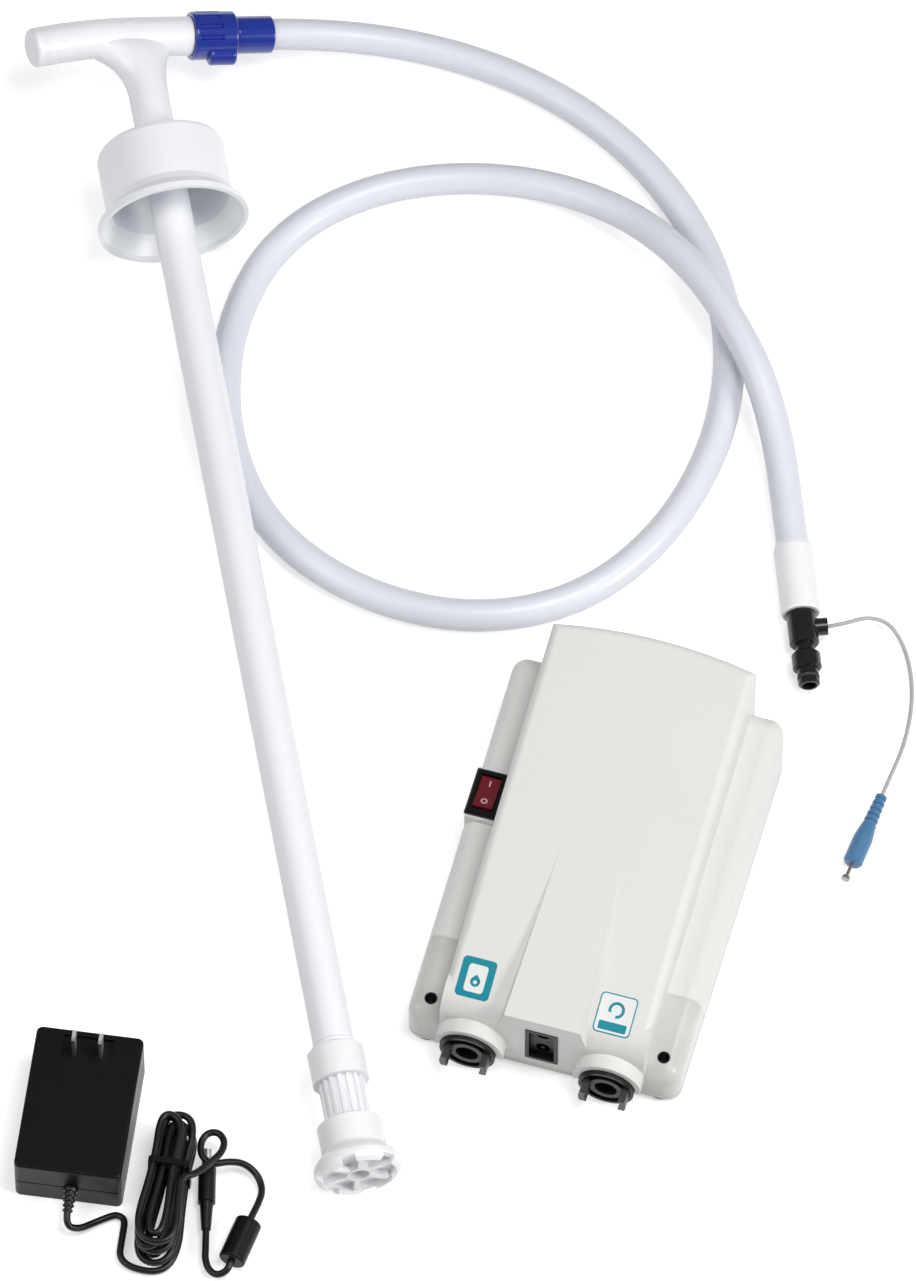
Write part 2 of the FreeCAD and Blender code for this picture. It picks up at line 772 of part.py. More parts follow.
def make_motor():
    back = motor_front_y + motor_length
    can = ring_solid(motor_radius, motor_radius - motor_wall, motor_front_y, motor_length)
    can = can.fuse(ring_solid(motor_radius, bearing_radius, motor_front_y, motor_wall))
    can = can.fuse(ring_solid(bearing_radius + 1.5, bearing_radius, motor_front_y, bearing_width + 1))
    write_node("motor_can", can.removeSplitter())
    bell = ring_solid(motor_radius, bearing_radius, back, end_bell_length)
    bell = bell.fuse(ring_solid(bearing_radius, shaft_radius + 0.6, back + end_bell_length - 1.5, 1.5))
    bell = bell.fuse(cylinder(bearing_radius, 1.0, (0, back + end_bell_length, axis_z), (0, 1, 0)))
    bell = bell.cut(cylinder(shaft_radius + 0.6, end_bell_length + 0.4, (0, back, axis_z), (0, 1, 0)))
    write_node("motor_end_bell", bell.removeSplitter())
    bearings = [ring_solid(bearing_radius, shaft_radius + running_gap, y, bearing_width)
                for y in (motor_front_y + 0.5, back + 1.0)]
    write_node("motor_bearings", *bearings)
    magnet_outer = motor_radius - motor_wall
    magnet = ring_solid(magnet_outer, magnet_outer - magnet_thickness, motor_front_y + 12, 40)
    magnets = []
    for side in (1, -1):
        low_x, high_x = (2, 40) if side > 0 else (-40, -2)
        half = magnet.common(box((low_x + 3 * side, 0, axis_z - 12), (high_x, 200, axis_z + 12)))
        magnets.append(half)
    write_node("motor_magnets", *magnets)
    shaft_end = back + end_bell_length - 0.5
    shaft = cylinder(shaft_radius, shaft_end - shaft_front_y, (0, shaft_front_y, axis_z), (0, 1, 0))
    write_node("motor_shaft", shaft)
    armature_y = motor_front_y + 13
    core = ring_solid(armature_radius, shaft_radius, armature_y, armature_length)
    for k in range(10):
        angle = math.radians(36 * k)
        slot = cylinder(1.3, armature_length + 2, (armature_radius * math.cos(angle), armature_y - 1,
                                                   axis_z + armature_radius * math.sin(angle)),
                        (0, 1, 0))
        core = core.cut(slot)
    commutator_y = armature_y + armature_length
    core = core.fuse(ring_solid(commutator_radius, shaft_radius, commutator_y, commutator_length))
    write_node("armature", core)


def tilted_ring(outer, inner, start, length):
    """A ring on the wobble axis, measured along that axis from the wobble centre."""
    ring = Part.makeCylinder(outer, length, Vector(0, start, 0), Y)
    ring = ring.cut(Part.makeCylinder(inner, length + 2, Vector(0, start - 1, 0), Y))
    return moved(ring, wobble_placement())


def wobble_placement():
    return Placement(Vector(0, wobble_centre_y, axis_z), Rotation(X, wobble_angle))


def make_drive():
    cam = Part.makeCylinder(cam_radius, cam_length, Vector(0, -cam_length / 2, 0), Y)
    cam = moved(cam, wobble_placement())
    cam = cam.cut(cylinder(shaft_radius, 60, (0, -30, axis_z), (0, 1, 0)))
    write_node("drive_cam", cam)
    half = wobble_bearing_width / 2
    write_node("wobble_bearing",
               tilted_ring(wobble_bearing_radius, cam_radius + running_gap, -half, wobble_bearing_width))
    plate = Part.makeCylinder(wobble_plate_radius, wobble_plate_thickness, Vector(0, -half, 0), Y)
    plate = plate.cut(Part.makeCylinder(wobble_bearing_radius, 60, Vector(0, -30, 0), Y))
    swing = (piston_circle + piston_radius) * math.sin(math.radians(wobble_angle))
    end = drive_front_y + piston_end_gap + swing - wobble_centre_y
    reach_radius = (wobble_bearing_radius + wobble_plate_radius) / 2
    for k in range(3):
        angle = math.radians(90 + 120 * k)
        x, z = reach_radius * math.cos(angle), reach_radius * math.sin(angle)
        foot = Part.makeCylinder(2.4, -half - end, Vector(x, end, z), Y)
        x, z = piston_circle * math.cos(angle), piston_circle * math.sin(angle)
        button = Part.makeCylinder(piston_radius, 2.0, Vector(x, end, z), Y)
        plate = plate.fuse(foot).fuse(button)
    write_node("wobble_plate", moved(plate.removeSplitter(), wobble_placement()))


def square_block(side, y, length):
    half = side / 2
    block = box((-half, y, axis_z - half), (half, y + length, axis_z + half))
    along = [e for e in block.Edges if abs(e.Vertexes[0].Y - e.Vertexes[1].Y) > 1e-6]
    return block.makeFillet(4.0, along)


def head_screw_places():
    offset = head_screw_offset
    return [(sx * offset, axis_z + sz * offset) for sx in (-1, 1) for sz in (-1, 1)]


def with_screw_holes(block):
    for x, z in head_screw_places():
        block = block.cut(cylinder(head_screw_radius, 120, (x, -80, z), (0, 1, 0)))
    return block


def make_pump_end():
    depth = motor_front_y - drive_front_y
    housing = square_block(drive_side, drive_front_y, depth)
    housing = housing.cut(cylinder(drive_bore_radius, depth - 2, (0, drive_front_y, axis_z), (0, 1, 0)))
    housing = housing.cut(cylinder(bearing_radius + 1, depth + 2, (0, drive_front_y, axis_z), (0, 1, 0)))
    write_node("drive_housing", with_screw_holes(housing))
    diaphragm_y = drive_front_y - diaphragm_thickness
    sheet = square_block(drive_side, diaphragm_y, diaphragm_thickness)
    for k in range(3):
        angle = math.radians(90 + 120 * k)
        x, z = piston_circle * math.cos(angle), axis_z + piston_circle * math.sin(angle)
        groove = cylinder(convolution_outer_radius, 5, (x, drive_front_y - convolution_depth, z),
                          (0, 1, 0))
        core = cylinder(convolution_inner_radius, 10, (x, drive_front_y - 5, z), (0, 1, 0))
        sheet = sheet.cut(groove.cut(core))
    write_node("diaphragm", with_screw_holes(sheet))
    valve_y = diaphragm_y - valve_plate_thickness
    plate = square_block(drive_side, valve_y, valve_plate_thickness)
    for k in range(3):
        for radius in (piston_circle - valve_spacing / 2, piston_circle + valve_spacing / 2):
            angle = math.radians(90 + 120 * k)
            x, z = radius * math.cos(angle), axis_z + radius * math.sin(angle)
            plate = plate.cut(cylinder(valve_hole_radius, 20, (x, valve_y - 1, z), (0, 1, 0)))
    write_node("valve_plate", with_screw_holes(plate))
    head_y = valve_y - head_length
    head = square_block(drive_side, head_y, head_length)
    half = drive_side / 2
    deep = head_length - head_wall
    for side in (1, -1):
        low_x, high_x = sorted((side * head_rib_half, side * head_pocket_half))
        head = head.cut(box((low_x, head_y + head_wall, axis_z - head_pocket_half),
                            (high_x, head_y + head_wall + deep, axis_z + head_pocket_half)))
        y, z = head_y + head_length * head_barb_y_share, axis_z - head_barb_drop
        head = head.fuse(cylinder(tail_radius, head_barb_length, (side * half, y, z), (side, 0, 0)))
        head = head.cut(cylinder(tail_bore_radius, head_bore_depth + 2 * head_barb_length,
                                 (side * (half - head_bore_depth), y, z), (side, 0, 0)))
    write_node("pump_head", with_screw_holes(head))
    screws = []
    for x, z in head_screw_places():
        shank = cylinder(head_screw_radius, motor_front_y - head_y - head_screw_head_height,
                         (x, head_y, z), (0, 1, 0))
        screws.append(shank.fuse(cylinder(head_screw_head_radius, head_screw_head_height,
                                          (x, head_y - head_screw_head_height, z), (0, 1, 0))))
    write_node("pump_screws", *screws)
    size_x, size_y, size_z = pressure_switch_size
    low = (half, head_y + 2.0, axis_z + 1.0)
    switch = box(low, (low[0] + size_x, low[1] + size_y, low[2] + size_z))
    cap = cylinder(4.5, 3.0, (half + size_x, low[1] + size_y / 2, low[2] + size_z / 2), (1, 0, 0))
    write_node("pressure_switch", switch.fuse(cap))
    make_internal_tubes(head_y + head_length * head_barb_y_share, half)


def make_internal_tubes(barb_y, half):
    """Two short tubes from the ports' tails to the head's side barbs."""
    start_y = -base_length / 2 + port_body_length + tube_gap
    barb_z = axis_z - head_barb_drop
    tubes = []
    for side in (-1, 1):
        x = side * port_x
        points = [(x, start_y, port_z), (x, start_y + tube_lead, port_z),
                  (x, barb_y - tube_bend, barb_z - tube_rise),
                  (x, barb_y, barb_z), (side * (half + tube_gap), barb_y, barb_z)]
        outer = routed_tube("internal tube", points, 2 * internal_tube_radius)
        inner = routed_tube("its bore", points, 2 * tail_radius)
        tubes.append(outer.cut(inner))
    write_node("internal_tubes", *tubes)


def make_carriage():
    """Rubber mounts, a steel bracket with two cradles, and the circuit board."""
    floor = foot_height + base_thickness
    plate_z = floor + mount_height
    low_y = motor_front_y + bracket_gap
    high_y = low_y + bracket_length
    bracket = box((-bracket_width / 2, low_y, plate_z),
                  (bracket_width / 2, high_y, plate_z + bracket_thickness))
    for y in (low_y + cradle_inset, high_y - cradle_inset - cradle_thickness):
        cradle = box((-cradle_half_width, y, plate_z),
                     (cradle_half_width, y + cradle_thickness, axis_z - cradle_drop))
        can = cylinder(motor_radius, bracket_length, (0, low_y, axis_z), (0, 1, 0))
        bracket = bracket.fuse(cradle.cut(can))
    write_node("pump_bracket", bracket)
    mounts = []
    for x in (-mount_offset_x, mount_offset_x):
        for y in (low_y + mount_inset, high_y - mount_inset):
            mounts.append(turned([(0, 0), (mount_radius, 0), (mount_radius - mount_waist, mount_height / 2),
                                  (mount_radius, mount_height), (0, mount_height)], (x, y, floor)))
    write_node("motor_mounts", *mounts)
    x, y = board_corner
    board_z = floor + board_standoff
    board = box((x, y, board_z), (x + board_size[0], y + board_size[1], board_z + board_size[2]))
    top = board_z + board_size[2]
    for low, size in (((x + 3, y + 4), (10, 8, 9)), ((x + 3, y + 18), (15, 12, 8)),
                      ((x + 5, y + 40), (8, 12, 5))):
        board = board.fuse(box((low[0], low[1], top), (low[0] + size[0], low[1] + size[1],
                                                       top + size[2])))
    write_node("circuit_board", board)


def make_pump():
    write_node("upper_housing", make_upper_housing())
    write_node("base_plate", make_base_plate())
    write_node("mounting_pads", *make_mounting_pads())
    write_node("rubber_feet", *make_rubber_feet())
    write_node("housing_screws", *make_housing_screws())
    write_node("inlet_port", make_port(-port_x))
    write_node("outlet_port", make_port(port_x))
    write_node("inlet_clip", make_clip(-port_x))
    write_node("outlet_clip", make_clip(port_x))
    write_node("power_socket", make_power_socket())
    write_node("switch_body", make_switch_body())
    write_node("switch_rocker", make_switch_rocker())
    make_motor()
    make_drive()
    make_pump_end()
    make_carriage()


def wand_placement():
    """Wand frame: Z runs up the tube from the foot, X along the handle's bar to the hose."""
    lean = Rotation(X, -(90 - wand_slope)).multiply(Rotation(Z, handle_roll))
    return Placement(Vector(wand_foot_x, wand_foot_y, wand_foot_z),
                     Rotation(Z, wand_heading).multiply(lean))


def write_wand_node(name, *solids):
    place = wand_placement()
    write_node(name, *[moved(solid, place) for solid in solids])


def make_foot():
    shoulder = float_radius + 0.6
    strainer = turned([(0, 0), (strainer_radius - 3.0, 0), (strainer_radius - 0.8, 1.4),
                       (strainer_radius, 3.6), (strainer_radius - 0.2, 6.4),
                       (strainer_radius - 2.0, 9.0), (shoulder, strainer_length - 1.5),
                       (shoulder - 0.6, strainer_length), (0, strainer_length)])
    strainer = strainer.cut(cylinder(strainer_radius - 3.5, strainer_recess_depth, (0, 0, 0), (0, 0, 1)))
    for k in range(strainer_slots):
        slot = box((strainer_radius - 5, -strainer_slot_width / 2, -1),
                   (strainer_radius + 2, strainer_slot_width / 2, strainer_slot_depth))
        slot.rotate(Vector(0, 0, 0), Z, 360 / strainer_slots * k)
        strainer = strainer.cut(slot)
    spokes = box((-strainer_radius + 3, -1.2, 1.5), (strainer_radius - 3, 1.2, strainer_recess_depth))
    for angle in (20, 80, 140):
        arm = spokes.copy()
        arm.rotate(Vector(0, 0, 0), Z, angle)
        strainer = strainer.fuse(arm)
    strainer = strainer.fuse(cylinder(6.0, strainer_recess_depth - 1, (0, 0, 1), (0, 0, 1)))
    strainer = strainer.cut(cylinder(stem_bore_radius, 3 * strainer_length, (0, 0, -1), (0, 0, 1)))
    write_wand_node("foot_strainer", strainer.removeSplitter())

    stem_low = strainer_length
    collar_low = stem_low + float_length + float_travel + 0.4 + clip_gap
    stem = cylinder(stem_core_radius, collar_low - stem_low, (0, 0, stem_low), (0, 0, 1))
    rib = box((stem_core_radius - 0.6, -stem_rib_width / 2, stem_low),
              (stem_radius, stem_rib_width / 2, collar_low))
    for k in range(stem_ribs):
        turned_rib = rib.copy()
        turned_rib.rotate(Vector(0, 0, 0), Z, 360 / stem_ribs * k)
        stem = stem.fuse(turned_rib)
    stem = stem.fuse(cylinder(tube_bore_radius, foot_collar_length + 14, (0, 0, collar_low), (0, 0, 1)))
    stem = stem.cut(cylinder(stem_bore_radius, 200, (0, 0, stem_low - 1), (0, 0, 1)))
    write_wand_node("ribbed_stem", stem)

    wall_ring = turned([(stem_radius + float_gap, 0), (float_radius - 0.8, 0), (float_radius, 0.8),
                        (float_radius, float_length - 0.8), (float_radius - 0.8, float_length),
                        (stem_radius + float_gap, float_length)], (0, 0, stem_low + 0.3))
    write_wand_node("float_ring", wall_ring)
    collar = turned([(tube_radius, 3.0), (tube_radius, foot_collar_length),
                     (foot_collar_radius - 0.8, foot_collar_length),
                     (foot_collar_radius, foot_collar_length - 0.8), (foot_collar_radius, 0),
                     (tube_bore_radius, 0), (tube_bore_radius, 3.0)], (0, 0, collar_low))
    write_wand_node("foot_collar", collar)
    reed = cylinder(reed_radius, reed_length, (0, stem_bore_radius - reed_radius, stem_low + 2), (0, 0, 1))
    write_wand_node("reed_switch", reed)
    return collar_low


def make_wand_tube(collar_low):
    low = collar_low + 3.0
    tube = cylinder(tube_radius, tube_top_station - low, (0, 0, low), (0, 0, 1))
    ring_z = collar_low + foot_collar_length + 2
    tube = tube.fuse(turned([(tube_radius - 1, 0), (tube_radius, 0),
                             (tube_radius + tube_ring_height, tube_ring_width / 2),
                             (tube_radius, tube_ring_width), (tube_radius - 1, tube_ring_width)],
                            (0, 0, ring_z)))
    tube = tube.cut(cylinder(tube_bore_radius, 2 * tube_top_station, (0, 0, low - 1), (0, 0, 1)))
    write_wand_node("wand_tube", tube)


def make_bottle_cap():
    """An open cup round the tube, flared at its mouth, with a rubber grommet in its top."""
    low, top = cap_rim_station, cap_rim_station + cap_length
    flare = cap_flare_length
    outer = [(0, top), (cap_radius - cap_edge_radius, top), (cap_radius - 0.9, top - 0.9),
             (cap_radius, top - cap_edge_radius), (cap_radius, low + flare + 4),
             (cap_radius + 1.6, low + flare), (cap_rim_radius, low + 3.2), (cap_rim_radius, low)]
    inner = [(cap_rim_radius - cap_wall, low), (cap_rim_radius - cap_wall, low + 2.2),
             (cap_radius - cap_wall + 1.8, low + flare - 0.5), (cap_radius - cap_wall, low + flare + 3),
             (cap_radius - cap_wall, top - cap_wall), (0, top - cap_wall)]
    cap = turned(outer + inner)
    middle = top - cap_wall / 2
    cap = cap.cut(cylinder(grommet_groove_radius, 20, (0, 0, top - 10), (0, 0, 1)))
    write_wand_node("bottle_cap", cap)
    half, lip = grommet_length / 2, cap_wall / 2
    bore = tube_radius + grommet_gap
    grommet = turned([(bore, middle - half), (grommet_radius, middle - half),
                      (grommet_radius, middle - lip), (grommet_groove_radius, middle - lip),
                      (grommet_groove_radius, middle + lip), (grommet_radius, middle + lip),
                      (grommet_radius - 1, middle + half), (bore, middle + half)])
    write_wand_node("cap_grommet", grommet)


def ellipse_wire(centre_x, reach_x, reach_y, height):
    curve = Part.Ellipse(Vector(centre_x, 0, height), max(reach_x, reach_y + 0.01), reach_y)
    return Part.Wire(curve.toShape())


def make_t_handle():
    """Neck, flared crotch and drooping arm in one moulding, bored for the water."""
    base = bar_station
    arm_end = Vector(-arm_length, 0, base - arm_droop)
    bend = (arm_length ** 2 + arm_droop ** 2) / (2 * arm_droop)
    half_turn = math.asin(arm_length / bend) / 2
    middle = Vector(-bend * math.sin(half_turn), 0, base - bend * (1 - math.cos(half_turn)))
    spine = Part.Wire([Part.Arc(arm_end, middle, Vector(0, 0, base)).toShape(),
                       line((0, 0, base), (shoulder_reach, 0, base))])
    tangent = spine.Edges[0].tangentAt(spine.Edges[0].FirstParameter)
    section = Part.Wire(Part.makeCircle(bar_radius, arm_end, tangent))
    handle = spine.makePipeShell([section], True, False)
    neck_low = tube_top_station
    flare = [ellipse_wire(0, neck_radius - 0.05, neck_radius - 0.1, base - 38),
             ellipse_wire(0, neck_radius + 0.2, neck_radius - 0.05, base - 29),
             ellipse_wire(-0.6, neck_radius + 1.6, neck_radius - 0.1, base - 22),
             ellipse_wire(-2.5, neck_radius + 5.6, neck_radius - 0.3, base - 14),
             ellipse_wire(-7.0, neck_radius + 15.0, neck_radius - 1.6, base - 6),
             ellipse_wire(-7.0, neck_radius + 15.5, neck_radius - 4.0, base + 2)]
    handle = handle.fuse(Part.makeLoft(flare, True, False))
    handle = handle.fuse(cylinder(neck_radius, base - 34 - neck_low, (0, 0, neck_low), (0, 0, 1)))
    handle = handle.fuse(cylinder(bar_spigot_radius, bar_spigot_length,
                                  (shoulder_reach, 0, base), (1, 0, 0)))
    handle = handle.fuse(cylinder(tube_bore_radius, spigot_length,
                                  (0, 0, neck_low - spigot_length), (0, 0, 1)))
    handle = handle.cut(cylinder(water_bore_radius, base - neck_low + spigot_length + 2,
                                 (0, 0, neck_low - spigot_length - 1), (0, 0, 1)))
    handle = handle.cut(cylinder(water_bore_radius, shoulder_reach + bar_spigot_length + 1,
                                 (0, 0, base), (1, 0, 0)))
    tangent = Vector(tangent)
    handle = handle.cut(Part.makeCylinder(arm_bore_radius, 24, arm_end - tangent, tangent))
    write_wand_node("t_handle", handle)
    plug = Part.makeCylinder(bar_radius, end_cap_length, arm_end - tangent * end_cap_length, tangent)
    rim = [e for e in plug.Edges if e.Length > 10 and e.CenterOfMass.x < arm_end.x - 2]
    plug = plug.makeFillet(2.0, [e for e in rim if len(e.Vertexes) == 1])
    plug = plug.fuse(Part.makeCylinder(arm_bore_radius, end_cap_plug_length, arm_end, tangent))
    write_wand_node("handle_end_cap", plug)


def make_coupling():
    """Blue swivel nut with a thumb lobe, and the barb that carries the hose."""
    start = shoulder_reach + nut_gap
    base = bar_station
    nut = cylinder(nut_radius, nut_length, (start, 0, base), (1, 0, 0))
    edges = [e for e in nut.Edges if len(e.Vertexes) == 1]
    nut = nut.makeFillet(1.2, edges)
    lobe = cylinder(nut_lobe_radius, nut_length * 0.62, (start + nut_length * 0.34, 0,
                                                         base - nut_lobe_offset), (1, 0, 0))
    nut = nut.fuse(lobe.makeFillet(1.5, [e for e in lobe.Edges if len(e.Vertexes) == 1]))
    for k in range(nut_flutes):
        angle = math.radians(30 + 300 / (nut_flutes - 1) * k - 60)
        y, z = nut_radius * math.cos(angle), base + nut_radius * math.sin(angle)
        if z > base - 9:
            nut = nut.cut(cylinder(nut_flute_radius, nut_length * 0.55, (start + 2, y, z), (1, 0, 0)))
    nut = nut.cut(cylinder(bar_spigot_radius + nut_gap, nut_length + 2, (start - 1, 0, base), (1, 0, 0)))
    write_wand_node("swivel_nut", nut)
    barb_start = start + nut_length + nut_gap
    seat = shoulder_reach + bar_spigot_length
    barb = cylinder(barb_radius, barb_length, (barb_start, 0, base), (1, 0, 0))
    rims = [e for e in barb.Edges if len(e.Vertexes) == 1]
    barb = barb.makeFillet(0.8, rims)
    barb = barb.fuse(cylinder(bar_spigot_radius - 0.2, barb_start - seat, (seat, 0, base), (1, 0, 0)))
    barb = barb.cut(cylinder(water_bore_radius, barb_length + 2, (seat - 1, 0, base), (1, 0, 0)))
    write_wand_node("hose_barb", barb)
    end = wand_placement().multVec(Vector(barb_start + barb_length, 0, base))
    print(f"barb end {end.x:.3f} {end.y:.3f} {end.z:.3f}")
    return end


def make_wand():
    collar_low = make_foot()
    make_wand_tube(collar_low)
    make_bottle_cap()
    make_t_handle()
    return make_coupling()


def unit(a, b):
    return (Vector(*b) - Vector(*a)).normalize()


def make_hose():
    write_node("hose", routed_tube("hose", hose_route, hose_diameter))
    end, along = Vector(*hose_route[-1]), unit(hose_route[-2], hose_route[-1])
    start = end - along * cuff_length
    cuff = turned([(cuff_radius - 0.9, 0), (cuff_radius, 3), (cuff_radius, cuff_length - 1),
                   (cuff_radius - 0.6, cuff_length), (hose_diameter / 2 + cuff_gap, cuff_length),
                   (hose_diameter / 2 + cuff_gap, 0)], tuple(start), tuple(along))
    write_node("hose_cuff", cuff)
    body = fitting_body_length
    neck = body + fitting_neck_length
    collar = neck + fitting_collar_length
    nose_radius = port_bore_radius - nose_clearance
    nose = collar + nose_length
    groove = collar + 3.4
    fitting = turned([(0, 0), (fitting_body_radius, 0), (fitting_body_radius, body - 1),
                      (fitting_body_radius - 1, body), (fitting_neck_radius, body),
                      (fitting_neck_radius, neck), (fitting_collar_radius - 1, neck),
                      (fitting_collar_radius, neck + 1), (fitting_collar_radius, collar - 1),
                      (fitting_collar_radius - 1, collar), (nose_radius, collar),
                      (nose_radius, groove), (nose_radius - seal_groove_depth, groove),
                      (nose_radius - seal_groove_depth, groove + 2), (nose_radius, groove + 2),
                      (nose_radius, nose - 0.8), (nose_radius - 0.8, nose), (0, nose)],
                     tuple(end), tuple(along))
    side = Vector(-along.y, along.x, 0)
    root = end + along * boss_offset
    fitting = fitting.fuse(Part.makeCylinder(lead_boss_radius, lead_boss_reach, root, side))
    bore = Part.makeCylinder(fitting_bore_radius, nose, end + along * 3, along)
    fitting = fitting.cut(bore)
    write_node("quick_fitting", fitting)
    print("lead leaves at", [round(c, 1) for c in root + side * lead_boss_reach])
    seal = turned([(nose_radius - seal_groove_depth, groove), (nose_radius + 0.15, groove + 0.4),
                   (nose_radius + 0.15, groove + 1.6), (nose_radius - seal_groove_depth, groove + 2)],
                  tuple(end), tuple(along))
    write_node("fitting_seal", seal)


def make_float_lead():
    write_node("float_lead", routed_tube("float lead", lead_route, lead_diameter))
    start, end = Vector(*lead_route[-1]), Vector(*lead_plug_end)
    along = (end - start).normalize()
    length = (end - start).Length
    outline = [(0, 0), (lead_plug_start_radius, 0)]
    for k in range(lead_plug_rings):
        height = 1.6 + 3.2 * k
        radius = lead_plug_start_radius + 0.14 * k
        outline += [(radius, height), (radius - 0.7, height + 0.3), (radius - 0.7, height + 1.5),
                    (radius + 0.1, height + 1.8)]
    outline += [(lead_plug_end_radius, length * 0.62), (lead_plug_end_radius, length - 1.2),
                (lead_plug_end_radius - 1.0, length), (0, length)]
    write_node("lead_plug", turned(outline, tuple(start), tuple(along)))
    pin = turned([(0, 0), (lead_pin_radius, 0), (lead_pin_radius, lead_pin_length - 1.6),
                  (lead_pin_ring_radius, lead_pin_length - 1.6), (lead_pin_ring_radius, lead_pin_length),
                  (0, lead_pin_length)], tuple(end), tuple(along))
    write_node("lead_pin", pin)


def adaptor_placement():
    return Placement(Vector(adaptor_centre[0], adaptor_centre[1], 0), Rotation(Z, adaptor_turn))


def make_adaptor():
    half_x, half_y = adaptor_width / 2, adaptor_length / 2
    lower = rounded_block((-half_x, -half_y, 0), (half_x, half_y, adaptor_height),
                          adaptor_corner_radius)
    top_edges = [e for e in lower.Edges if e.CenterOfMass.z > adaptor_height - 0.01]
    case = lower.makeFillet(adaptor_draft_step, top_edges)
    seam = box((-half_x - 1, -half_y - 1, adaptor_seam_height),
               (half_x + 1, half_y + 1, adaptor_seam_height + 0.8))
    seam = seam.cut(box((-half_x + adaptor_seam_depth, -half_y + adaptor_seam_depth, 0),
                        (half_x - adaptor_seam_depth, half_y - adaptor_seam_depth, 40)))
    case = case.cut(seam)
    recess_x, recess_y, recess_z = blade_recess
    case = case.cut(box((-recess_x / 2, blade_y - recess_y / 2, adaptor_height - recess_z),
                        (recess_x / 2, blade_y + recess_y / 2, adaptor_height + 1)))
    place = adaptor_placement()
    write_node("adaptor_case", moved(case, place))
    blades = []
    floor = adaptor_height - recess_z
    for x in (-blade_spacing / 2, blade_spacing / 2):
        blade = box((x - blade_thickness / 2, blade_y - blade_width / 2, floor),
                    (x + blade_thickness / 2, blade_y + blade_width / 2, floor + blade_length))
        tip = [e for e in blade.Edges if e.CenterOfMass.z > floor + blade_length - 0.01
               and abs(abs(e.CenterOfMass.y - blade_y) - blade_width / 2) < 0.01]
        blade = blade.makeChamfer(1.2, tip)
        blades.append(moved(blade, place))
    write_node("adaptor_blades", *blades)
    outline = [(0, 0), (relief_root_radius, 0)]
    pitch = relief_length / (relief_rings + 0.5)
    for k in range(relief_rings):
        height = pitch * (k + 0.5)
        share = height / relief_length
        radius = relief_root_radius + (relief_tip_radius - relief_root_radius) * share
        outline += [(radius, height), (radius - 0.8, height + 0.3), (radius - 0.8, height + 1.3),
                    (radius - 0.1, height + 1.6)]
    outline += [(relief_tip_radius, relief_length), (0, relief_length)]
    relief_axis = Vector(0, -1, -relief_droop).normalize()
    relief = turned(outline, (relief_x, -half_y, relief_z), relief_axis)
    relief = relief.fuse(cylinder(relief_root_radius, 1.6, (relief_x, -half_y - 0.7, relief_z), (0, 1, 0)))
    relief = relief.cut(box((-half_x, -half_y, 0), (half_x, half_y, adaptor_height)))
    write_node("adaptor_relief", moved(relief, place))
    tip = Vector(relief_x, -half_y, relief_z) + relief_axis * relief_length
    return place.multVec(tip), place.Rotation.multVec(relief_axis)


def hank_height(layer):
    return hank_rest_z + layer * (cord_diameter + cord_gap)


def hank_point(side, slot, level, layer):
    """A place in the hank's own frame; side is 1 or -1, and a climb lies between two layers."""
    nested = (hank_slots - 1 - slot) * hank_pitch
    aside = hank_stagger * math.cos(math.pi * layer)
    z = hank_height(layer)
    if level == "waist":
        return (side * (hank_waist_inner + slot * hank_waist_pitch) + aside, 0.0, z)
    if level == "top":
        ragged = hank_ragged * math.sin(2.4 * layer)
        return (side * (hank_top_inner + slot * hank_pitch) + aside, hank_top - nested + ragged, z)
    ragged = hank_ragged * math.sin(2.4 * layer + 2.0)
    return (side * (hank_bottom_inner + slot * hank_bottom_pitch) + aside,
            hank_bottom + nested + ragged, z)


def hank_runs():
    """The order of the runs as (side, slot, layer): inward, then outward, layer by layer."""
    outer = hank_slots - 1
    runs = [(side, slot, 0) for slot in range(outer, -1, -1) for side in (1, -1)]
    for layer in range(1, hank_layers):
        if layer % 2:
            runs.append((1, 0, layer))
            runs += [(side, slot, layer) for slot in range(1, hank_slots) for side in (-1, 1)]
        else:
            runs.append((-1, outer, layer))
            runs += [(side, slot, layer) for slot in range(outer - 1, -1, -1) for side in (1, -1)]
    return runs


def hank_route():
    """Down the far left, then up the right side, across the top and down the left, over and over."""
    runs = hank_runs()
    points = []
    for index, (side, slot, layer) in enumerate(runs):
        climbs = index + 1 < len(runs) and runs[index + 1][2] > layer
        rise = 1 if climbs else 0
        levels = ("bottom", "waist", "top") if side > 0 else ("top", "waist", "bottom")
        for level, height in zip(levels, (layer, layer + rise / 2, layer + rise)):
            points.append(hank_point(side, slot, level, height))
    first_x, first_y, z = points[0]
    lowest = first_y - hank_pitch - hank_ragged
    points[0] = (first_x + 0.6, lowest, z)
    bottom, waist = points[-3], points[-2]
    share = (hank_exit_y - bottom[1]) / (waist[1] - bottom[1])
    points[-2:] = [tuple(b + (w - b) * share for b, w in zip(bottom, waist))]
    return [(*hank_entry, z), (hank_entry[0] + 0.6, lowest, z)] + points


def hank_placement():
    return Placement(Vector(hank_centre[0], hank_centre[1], 0), Rotation(Z, hank_turn))


def least_gap(path, diameter, skip):
    """Least distance between turns, measured on points one millimetre apart."""
    count = int(path.Length)
    points = path.discretize(Number=count)
    cells = {}
    size = 2 * diameter
    for index, p in enumerate(points):
        cells.setdefault((p.x // size, p.y // size, p.z // size), []).append(index)
    least = 1e9
    for (a, b, c), members in cells.items():
        near = [j for da in (-1, 0, 1) for db in (-1, 0, 1) for dc in (-1, 0, 1)
                for j in cells.get((a + da, b + db, c + dc), [])]
        for i in members:
            for j in near:
                if j - i > skip:
                    least = min(least, (points[i] - points[j]).Length)
    return least - diameter


